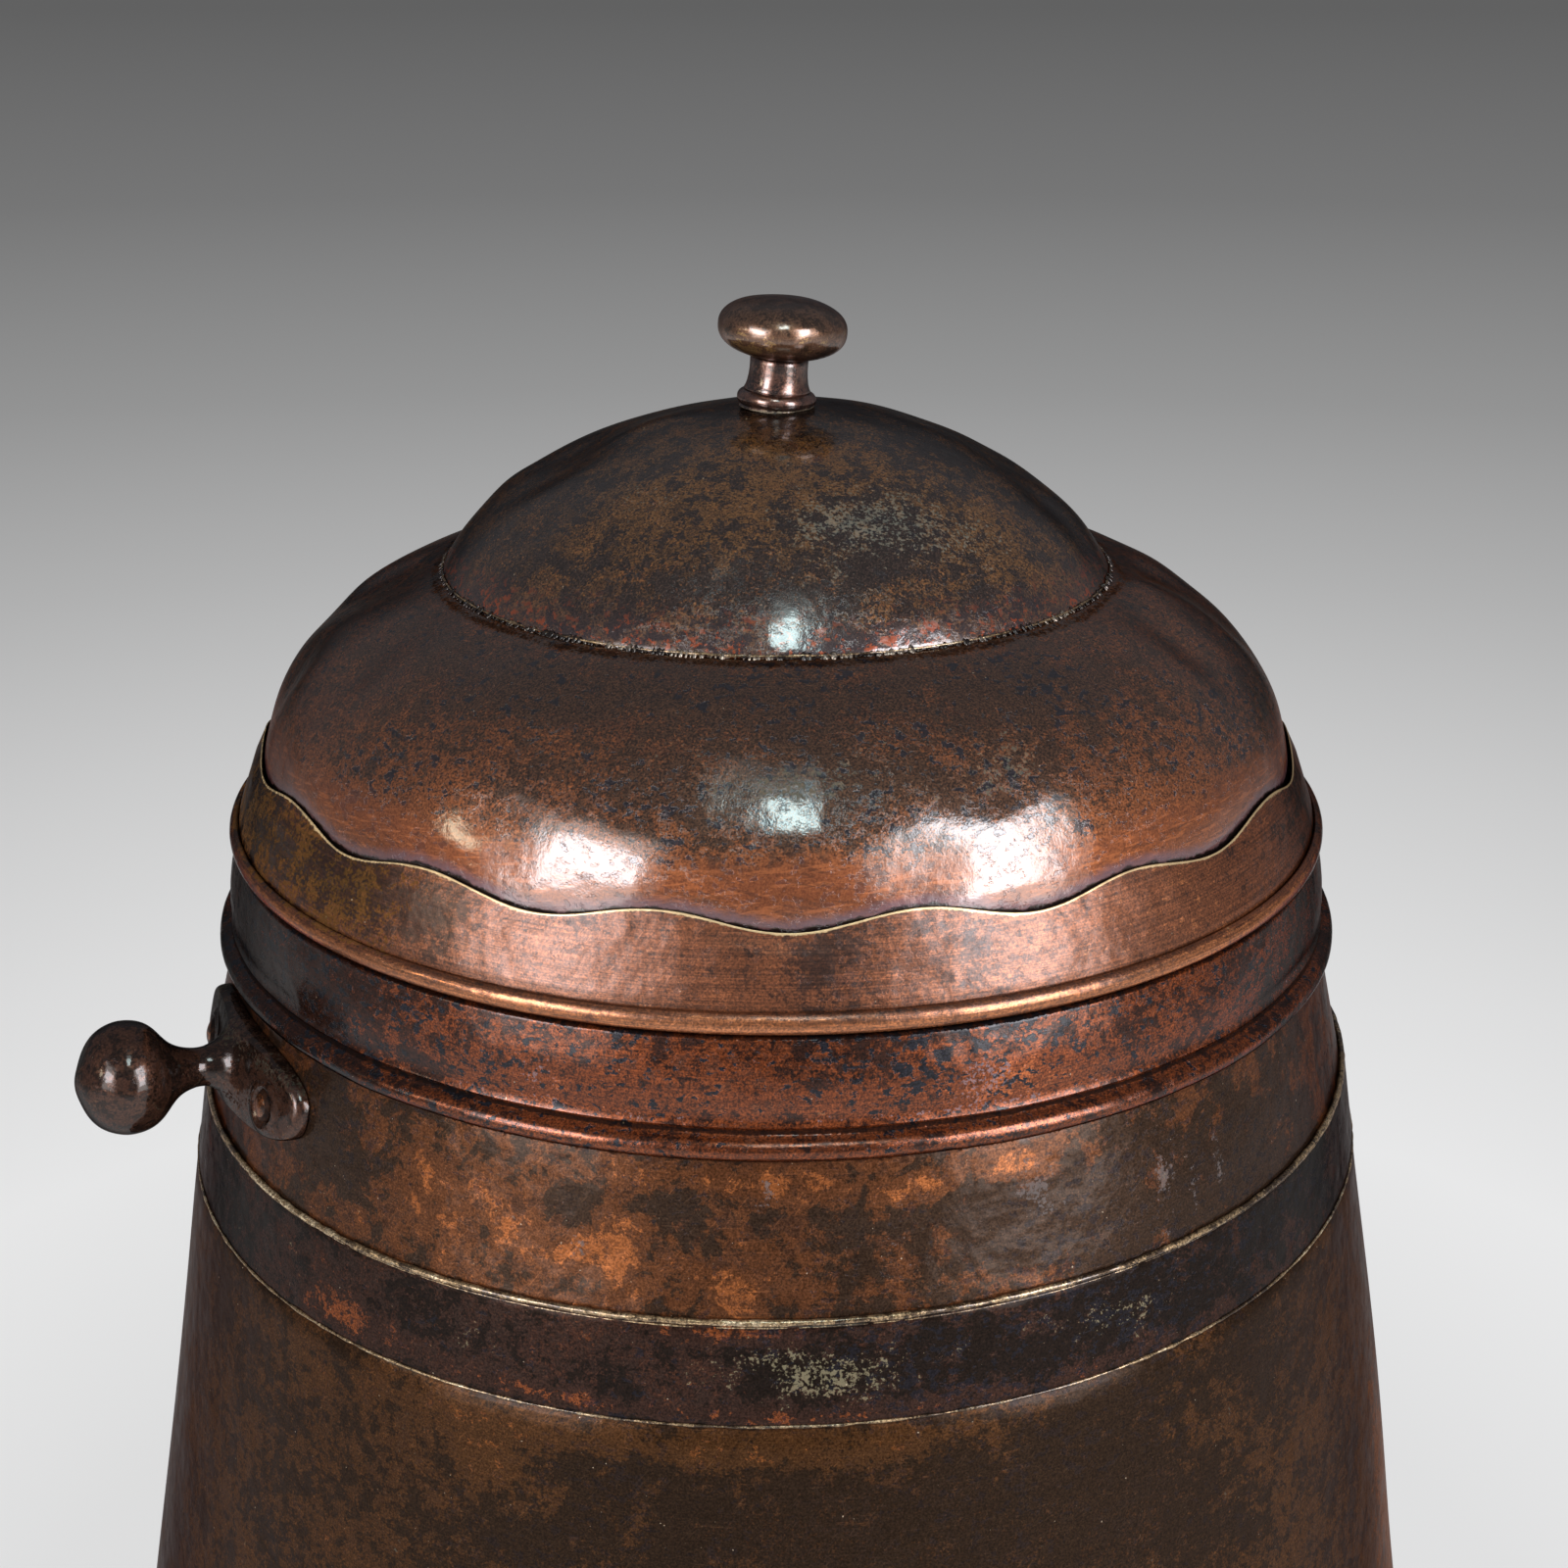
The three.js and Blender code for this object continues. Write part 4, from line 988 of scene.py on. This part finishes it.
def crown_bends(places):
    """Hammer marks and dents of the crown, fewer near its edge and none under the knob."""
    radius = np.hypot(places[:, 0], places[:, 1])
    out = beaten(places, 51, 0.22 * mm, 0.02, 0.06, 24) + beaten(places, 52, 0.3 * mm, 0.07, 0.16)
    out += mm * marks(places, [
        (-92, 474, 14, 8, -2.2), (-84, 482, 9, 5, 0.9), (-98, 462, 9, 6, 0.8), (96, 470, 12, 8, -1.2),
        (-75, 470, 12, 8, -2.0), (-58, 462, 9, 7, -1.2), (40, 468, 10, 7, -0.9), (80, 462, 14, 8, -1.4),
        (-7, 459, 6, 5, -0.8), (-20, 446, 12, 4, 0.4), (24, 446, 12, 4, 0.4), (170, 465, 14, 10, -1.0)])
    out *= np.clip((radius - 0.012) / 0.02, 0, 1) * np.clip((places[:, 2] - 438 * mm) / 0.01, 0.1, 1)
    away = places - np.array((0, 0, 0.36))
    return away / np.linalg.norm(away, axis=1)[:, None] * out[:, None]


lid_crown = turned("lid_crown_dome", sheet(crown_face, lid_sheet), [crown_finish, sooty], 300, crown_bends)
line_inside(lid_crown, 365 * mm)
at = places_of(lid_crown)
edge = np.clip((447 * mm - at[:, 2]) / 0.008, 0, 1)
paint(lid_crown, "rub_and_sheen", 0.1 * edge + marks(at, [
    (-60, 455, 20, 14, -0.1), (0, 474, 50, 9, 0.15), (-35, 462, 26, 8, 0.05), (45, 462, 20, 9, 0.15),
    (-6, 454, 40, 5, -0.15), (180, 455, 90, 20, 0.1)]))
paint(lid_crown, "bloom_and_sheen", marks(at, [
    (24, 468, 22, 8, 0.5), (6, 468, 14, 5, 0.3), (44, 460, 16, 8, 0.35), (-36, 472, 24, 6, 0.25),
    (12, 458, 30, 5, 0.2), (-50, 452, 12, 6, 0.2), (150, 460, 40, 10, 0.35), (-130, 455, 30, 10, 0.3)]))
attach(lid_crown, "lid")
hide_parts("lid_crown")


# Crown seam
# The little teeth cut into the crown's edge and beaten down on the shoulder, with brass run between
# them. Each tooth is a thin rounded tongue, and no two are quite alike.

seam_tree, given = group("seam_teeth", {
    "Teeth": ("Int", 236), "Seam radius": ("Float", 0.102), "Seam height": ("Float", 0.4395),
    "Slope": ("Float", 0.9), "Tooth width": ("Float", 0.0012), "Tooth length": ("Float", 0.0013),
    "Tooth thickness": ("Float", 0.0005)})
index = node(seam_tree, "GeometryNodeInputIndex")
jitter = node(seam_tree, "FunctionNodeRandomValue", {0: (-1, -1, -1), 1: (1, 1, 1), "Seed": 4},
              data_type="FLOAT_VECTOR")
chance = node(seam_tree, "ShaderNodeSeparateXYZ", {0: jitter}).node.outputs
turn = calc(seam_tree, "DIVIDE", calc(seam_tree, "ADD", index, calc(seam_tree, "MULTIPLY", chance[0], 0.6)),
            given["Teeth"])
turn = calc(seam_tree, "MULTIPLY", turn, 2 * math.pi)
height = calc(seam_tree, "ADD", given["Seam height"], calc(seam_tree, "MULTIPLY", chance[1], 0.4 * mm))
size = [calc(seam_tree, "MULTIPLY", given[name],
             calc(seam_tree, "ADD", calc(seam_tree, "MULTIPLY", chance[(axis + 1) % 3], 0.6), 1.0))
        for axis, name in enumerate(("Tooth length", "Tooth width", "Tooth thickness"))]
tongue = node(seam_tree, "GeometryNodeMeshUVSphere", {"Segments": 8, "Rings": 5, "Radius": 1.0})
place = round_place(seam_tree, turn, given["Seam radius"], height)
facing = vector(seam_tree, 0, given["Slope"], turn)
copies = repeated(seam_tree, given["Teeth"], place, tongue, facing, vector(seam_tree, *size))
finished(seam_tree, copies, given)
seam_height = crown_face[0, 1]
seam_finish = old_copper("seam_silvered_edge", "2a211d", "85776a", "c2b39e", crust_and_sheen_colour="8f8a7c", rub_and_sheen=0.0,
                         patch=1.4, spots=0.5, bloom_and_sheen=-0.2, metal=0.7, rough=0.3)
seam_teeth = grown("crown_seam_teeth", seam_tree, {
    "Teeth": 560, "Seam radius": seam_radius + 0.55 * mm, "Seam height": seam_height - 0.2 * mm,
    "Slope": math.radians(42), "Tooth width": 0.6 * mm, "Tooth length": 1.05 * mm,
    "Tooth thickness": 0.26 * mm, "Finish": seam_finish})
seam_teeth.data.shade_smooth()
at = places_of(seam_teeth)
paint(seam_teeth, "rub_and_sheen", beaten(at, 61, 0.35, 0.008, 0.05) + marks(at, [
    (-6, 439, 26, 9, 0.3), (18, 439, 14, 9, 0.3), (-80, 439, 70, 9, -0.7), (75, 439, 50, 9, -0.6),
    (180, 439, 90, 9, -0.6)]))
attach(seam_teeth, "lid")
brazed_ring("crown_seam_brazing", seam_radius + 0.2 * mm, seam_height + 0.3 * mm, 0.3 * mm, 1.5, 13,
            "lid", False)


# Lid skirt
# A copper band brazed round the lid's foot. Its top edge is cut in waves and worn bright, and its
# lower edge is rolled over a wire into the bead that rests on the collar.

skirt_sheet = 1.2 * mm
skirt_finish = old_copper("skirt_patina", "44281a", "704127", "a4643a", crust_and_sheen_colour="644a28", rub_and_sheen=0.15, patch=0.15,
                          mottle=0.15, spots=0.35, bloom_and_sheen=-0.4, brush=0.6, grit=0.7, coarse=0.5, metal=0.7,
                          rough=0.38, wax=0.5, wax_rough=0.3, edge=0.2)
roll_radius = 3.4 * mm
roll_middle = (mouth_radius, mouth_height + roll_radius)
skirt_top_radius = 160.15 * mm
edge_sheet = 0.4 * mm
edge_radius = skirt_top_radius - edge_sheet
skirt_face = np.vstack((
    [(edge_radius, skirt_top), (edge_radius + 0.05 * mm, skirt_top - 0.15 * mm)],
    run((edge_radius + 0.1 * mm, skirt_top - 0.35 * mm), (166.75 * mm, 367.4 * mm), 26),
    arc(roll_middle, roll_radius, roll_radius, 108, 424, 30)))
skirt_body = np.interp(np.arange(len(skirt_face)), (0, 2, 10), (edge_sheet, edge_sheet, skirt_sheet))
skirt_start = turned("skirt_start", sheet(skirt_face, skirt_body), skirt_finish, 480)


def from_axis(tree, axes):
    """How far each place lies from the bin's axis."""
    squares = [calc(tree, "MULTIPLY", axis, axis) for axis in axes[:2]]
    return calc(tree, "SQRT", calc(tree, "ADD", *squares))


wave_tree, given = group("waved_edge", {"Band": ("Geometry", None), "Still below": ("Float", 0.368),
                                        "Full above": ("Float", 0.389), "Lean": ("Float", -0.28)})
spot = node(wave_tree, "GeometryNodeInputPosition")
axes = node(wave_tree, "ShaderNodeSeparateXYZ", {0: spot}).node.outputs
share = node(wave_tree, "ShaderNodeMapRange", {0: axes[2], 1: given["Still below"], 2: given["Full above"]})
lift = calc(wave_tree, "MULTIPLY", waved_lift(wave_tree, spot), share)
along = calc(wave_tree, "MULTIPLY", lift, given["Lean"])
along = calc(wave_tree, "DIVIDE", along, from_axis(wave_tree, axes))
shift = vector(wave_tree, *(calc(wave_tree, "MULTIPLY", axis, along) for axis in axes[:2]), lift)
bent = node(wave_tree, "GeometryNodeSetPosition", {"Geometry": given["Band"], "Offset": shift})
finished(wave_tree, bent, given)

start_height = places_of(skirt_start)[:, 2]
top_share = np.clip((start_height - (skirt_top - 0.3 * mm)) / (0.2 * mm), 0, 1)
roll_share = np.clip((roll_middle[1] + 2.6 * mm - start_height) / (1.0 * mm), 0, 1)
skirt_lean = (skirt_top_radius - mouth_radius) / (skirt_top - roll_middle[1])
lid_skirt = grown("lid_skirt_band", wave_tree, {
    "Still below": 368 * mm, "Full above": skirt_top, "Lean": skirt_lean, "Finish": skirt_finish},
    skirt_start)
bpy.data.objects.remove(skirt_start)
smooth(lid_skirt)
at = places_of(lid_skirt)
paint(lid_skirt, "rub_and_sheen", 0.45 * roll_share + marks(at, [
    (-75, 378, 50, 14, -0.45), (-46, 380, 30, 10, -0.35), (-33, 380, 12, 10, -0.25), (-20, 384, 16, 5, -0.1),
    (4, 378, 10, 9, -0.35), (19, 377, 10, 8, -0.2), (40, 376, 20, 8, 0.1), (14, 384, 16, 4, -0.2),
    (75, 378, 40, 14, -0.2)]))
left_film = 0.66 * (1 - roll_share) * np.clip((-25 - azimuth(at)) / 16, 0, 1)
paint(lid_skirt, "bloom_and_sheen", left_film + marks(at, [(170, 380, 60, 20, 0.5)]))
paint(lid_skirt, "grime_and_shade", 0.75 * np.exp(-((at[:, 2] - 367.6 * mm) / (0.75 * mm)) ** 2))
paint(lid_skirt, "bright", 1.2 * top_share)
paint(lid_skirt, "polish", roll_share)
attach(lid_skirt, "lid")
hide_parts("lid_skirt")


# Rim wire
# The iron wire inside the lid's bead, which keeps the rim round. It is closed in by the roll.

finish_node("rim_wire", iron)


# Knob
# A cast and turned bronze mushroom on a short moulded pedestal, a little out of upright. The stud
# goes down through both and the crown, and is held inside by a washer and a nut.

knob_finish = old_copper("knob_bronze", "4a372a", "745440", "b08a58", crust_and_sheen_colour="6b6a5a", rub_and_sheen=0.0, patch=0.6,
                         mottle=0.3, spots=0.25, bloom_and_sheen=-0.45, scuff=0.4, grit=0.45, metal=0.85, rough=0.34,
                         wax=0.8)
crown_top = crown_middle + crown_rise
lean = math.radians(4.5)
head_radius = 19.5 * mm
head_cut = 8.4 * mm
head_low = 15.0 * mm
head_half = 9.1 * mm
head_middle = head_low + head_half * math.sqrt(1 - (head_cut / head_radius) ** 2)
head_dents = (((0.75, -0.6, -0.05), 4, 0.45), ((0.45, -0.85, -0.25), 3.5, 0.4), ((-0.5, 0.7, 0.3), 6, 0.5),
              ((-0.9, -0.2, 0.3), 5, 0.25))
dent_reach = np.array((head_radius, head_radius, 9.2 * mm))


def leaned(places):
    """Takes a knob piece from upright on the axis to its place on the crown."""
    lay = np.array(Matrix.Translation((0, 0, crown_top)) @ Matrix.Rotation(lean, 4, "Y"))
    return places @ lay[:3, :3].T + lay[:3, 3] - places


def head_bends(places):
    """Dents and lumps of a cast head that has been knocked about, none on its flat foot."""
    far = places - np.array((0, 0, head_middle))
    length = np.maximum(np.linalg.norm(far, axis=1), tiny)
    out = beaten(places, 71, 0.16 * mm, 0.012, 0.04)
    for way, size, depth in head_dents:
        spot = np.array(way) / np.linalg.norm(way) * dent_reach
        out -= depth * mm * np.exp(-(np.linalg.norm(far - spot, axis=1) / (size * mm)) ** 2)
    out *= np.clip(np.hypot(places[:, 0], places[:, 1]) / (6 * mm) - 1, 0, 1) * 0.7 + 0.3
    bent = places + far / length[:, None] * out[:, None] * (length > 5 * mm)[:, None]
    return leaned(bent) + bent - places


cap = arc((0, 0), 1, 1, -math.degrees(math.acos(head_cut / head_radius)), 90, 44)
cap = np.sign(cap) * np.abs(cap) ** (1 / 1.16) * (head_radius, head_half) + (0, head_middle)
head_outline = np.vstack(([(0, head_low), (7.6 * mm, head_low)], cap))
knob_head = turned("knob_mushroom", head_outline, knob_finish, 120, head_bends)
at = places_of(knob_head)
up = at[:, 2] - crown_top
thumbed = ((at[:, 0] + 8 * mm) / (7 * mm)) ** 2 + ((up - 18 * mm) / (2.5 * mm)) ** 2
paint(knob_head, "rub_and_sheen", 0.3 * np.exp(-((up - 22 * mm) / (4 * mm)) ** 2)
      + 0.45 * np.exp(-thumbed) * (at[:, 1] < 0))
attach(knob_head, "lid")
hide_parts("knob_head")

pedestal_outline = np.vstack((
    [(3.3 * mm, -0.6 * mm), (11.0 * mm, -0.6 * mm)],
    arc((9.5 * mm, 2.2 * mm), 2.4 * mm, 2.4 * mm, -60, 84, 14),
    [(9.9 * mm, 5.0 * mm), (9.5 * mm, 5.8 * mm), (9.15 * mm, 7 * mm), (8.9 * mm, 9 * mm), (8.8 * mm, 11 * mm),
     (8.8 * mm, 13 * mm), (8.8 * mm, 14.2 * mm), (8.3 * mm, 14.7 * mm), (3.3 * mm, 14.7 * mm)]))
pedestal_finish = old_copper("pedestal_bronze", "3f2d27", "704d40", "a57a5a", crust_and_sheen_colour="8b8370", rub_and_sheen=0.0,
                             mottle=0.3, spots=0.2, bloom_and_sheen=-0.25, scuff=0.3, grit=0.5, metal=0.88, rough=0.3,
                             wax=0.9)


def pedestal_bends(places):
    """The lean of the knob, and a slight wobble of the turned stem."""
    return leaned(places) + places * beaten(places, 73, 0.012, 0.008, 0.03)[:, None] * np.array((1, 1, 0))


knob_pedestal = turned("knob_pedestal_turning", pedestal_outline, pedestal_finish, 96, pedestal_bends)
at = places_of(knob_pedestal)
up = at[:, 2] - crown_top
paint(knob_pedestal, "rub_and_sheen", 0.2 * np.exp(-((up - 3 * mm) / (1.5 * mm)) ** 2))
paint(knob_pedestal, "bloom_and_sheen", 0.9 * np.exp(-((up + 0.2 * mm) / (0.7 * mm)) ** 2))
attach(knob_pedestal, "lid")
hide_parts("knob_pedestal")
finish_node("knob_stud", iron)
finish_node("knob_washer", crown_finish)
finish_node("knob_nut", iron)


# Studio
# A pale floor that darkens far away, softboxes of several lamps to both sides and above, and the
# camera at the photograph's place: a little above the lid and looking down on it.

floor_greys = [(0.3, 221), (0.52, 231), (0.75, 221), (1.1, 204), (1.65, 179), (2.6, 151), (5.1, 121),
               (18, 100)]
ramp_middle = 1.5
floor_glow = 1.14
paper_share = 0.2


def floor_material():
    """Pale paper that turns greyer far from the bin."""
    material = bpy.data.materials.new("studio_floor")
    material.use_nodes = True
    tree = material.node_tree
    tree.nodes.clear()
    where = tree.nodes.new("ShaderNodeTexCoord").outputs["Object"]
    far = from_axis(tree, node(tree, "ShaderNodeSeparateXYZ", {0: where}).node.outputs)
    share = calc(tree, "DIVIDE", far, calc(tree, "ADD", far, ramp_middle))
    ramp = node(tree, "ShaderNodeValToRGB", {0: share})
    steps = ramp.node.color_ramp.elements
    steps.remove(steps[1])
    for count, (distance, grey) in enumerate(floor_greys):
        place = distance / (distance + ramp_middle)
        step = steps.new(place) if count else steps[0]
        step.position = place
        step.color = srgb(f"{grey:02x}" * 3)
    glow = node(tree, "ShaderNodeEmission", {"Color": ramp, "Strength": floor_glow})
    paper = node(tree, "ShaderNodeBsdfDiffuse", {"Color": ramp})
    dim = node(tree, "ShaderNodeMixShader", {0: paper_share, 1: glow, 2: paper})
    seen = tree.nodes.new("ShaderNodeLightPath").outputs
    direct = calc(tree, "MAXIMUM", seen["Is Glossy Ray"], seen["Is Transmission Ray"], seen["Is Camera Ray"])
    shown = node(tree, "ShaderNodeMixShader", {0: direct, 1: paper, 2: dim})
    tree.links.new(shown, tree.nodes.new("ShaderNodeOutputMaterial").inputs[0])
    return material


floor_radius = 60
floor_drop = 0.2 * mm
floor_steps = 96
floor_rim = [(floor_radius * math.cos(a), floor_radius * math.sin(a), -floor_drop)
             for a in np.radians(np.arange(floor_steps) * 360 / floor_steps)]
floor = mesh_object("studio_floor", [(0, 0, -floor_drop)] + floor_rim,
                    [(0, 1 + j, 1 + (j + 1) % floor_steps) for j in range(floor_steps)], floor_material())

world = bpy.data.worlds.new("studio_air")
bpy.context.scene.world = world
world.use_nodes = True
tree = world.node_tree
seen = tree.nodes.new("ShaderNodeLightPath").outputs
air = tint(tree, seen["Is Camera Ray"], (0.13, 0.135, 0.15, 1), srgb("646464"))
tree.links.new(air, tree.nodes["Background"].inputs["Color"])
lamp_aim = Vector((0, 0, 0.4))


def softbox(name, turn, rise, distance, wide, tall, radiance, colour):
    """A soft rectangular lamp, aimed at the lid from a side and a height in degrees."""
    lamp = bpy.data.lights.new(name, "AREA")
    lamp.shape = "RECTANGLE"
    lamp.size = wide
    lamp.size_y = tall
    lamp.energy = radiance * math.pi * wide * tall
    lamp.color = colour
    box = bpy.data.objects.new(name, lamp)
    bpy.context.scene.collection.objects.link(box)
    turn, rise = math.radians(turn), math.radians(rise)
    way = Vector((math.sin(turn) * math.cos(rise), -math.cos(turn) * math.cos(rise), math.sin(rise)))
    box.location = lamp_aim + way * distance
    box.rotation_euler = way.to_track_quat("Z", "Y").to_euler()


softbox("softbox_left", -42, 13.5, 1.7, 1.05, 1.5, 0.8, (1.0, 0.96, 0.92))
softbox("softbox_left_middle", -43, 13, 1.65, 0.75, 1.2, 2.2, (1.0, 0.96, 0.94))
softbox("softbox_left_core", -43, 15, 1.6, 0.55, 0.55, 8.5, (0.94, 0.93, 1.0))
softbox("softbox_far_left", -66, 13, 1.6, 0.2, 0.22, 7, (1.0, 0.86, 0.62))
softbox("softbox_right", 46, 14, 1.7, 1.1, 1.5, 1.0, (1.0, 0.96, 0.92))
softbox("softbox_right_middle", 45, 14, 1.65, 0.78, 1.4, 2.6, (1.0, 0.96, 0.95))
softbox("softbox_right_core", 46, 19, 1.6, 0.55, 1.05, 8, (0.94, 0.93, 1.0))
softbox("softbox_above", 6, 60, 1.5, 0.36, 0.8, 0.3, (0.85, 1.0, 1.0))
softbox("softbox_above_middle", 6, 56, 1.45, 0.28, 0.55, 1.5, (0.8, 1.0, 1.0))
softbox("softbox_above_core", 6, 52, 1.4, 0.24, 0.4, 9, (0.78, 1.0, 1.0))

picture_width = 1600
focal_length = 2357
middle_column = 791.9
look_down = 20.52
camera = bpy.data.cameras.new("camera")
camera.sensor_width = 36
camera.lens = camera.sensor_width * focal_length / picture_width
camera.shift_x = (picture_width / 2 - middle_column) / picture_width
eye = bpy.data.objects.new("camera", camera)
eye.location = (0, -693.4 * mm, 624.5 * mm)
eye.rotation_euler = (math.radians(90 - look_down), 0, 0)
bpy.context.scene.collection.objects.link(eye)
bpy.context.scene.camera = eye
bpy.context.scene.view_settings.view_transform = "Standard"
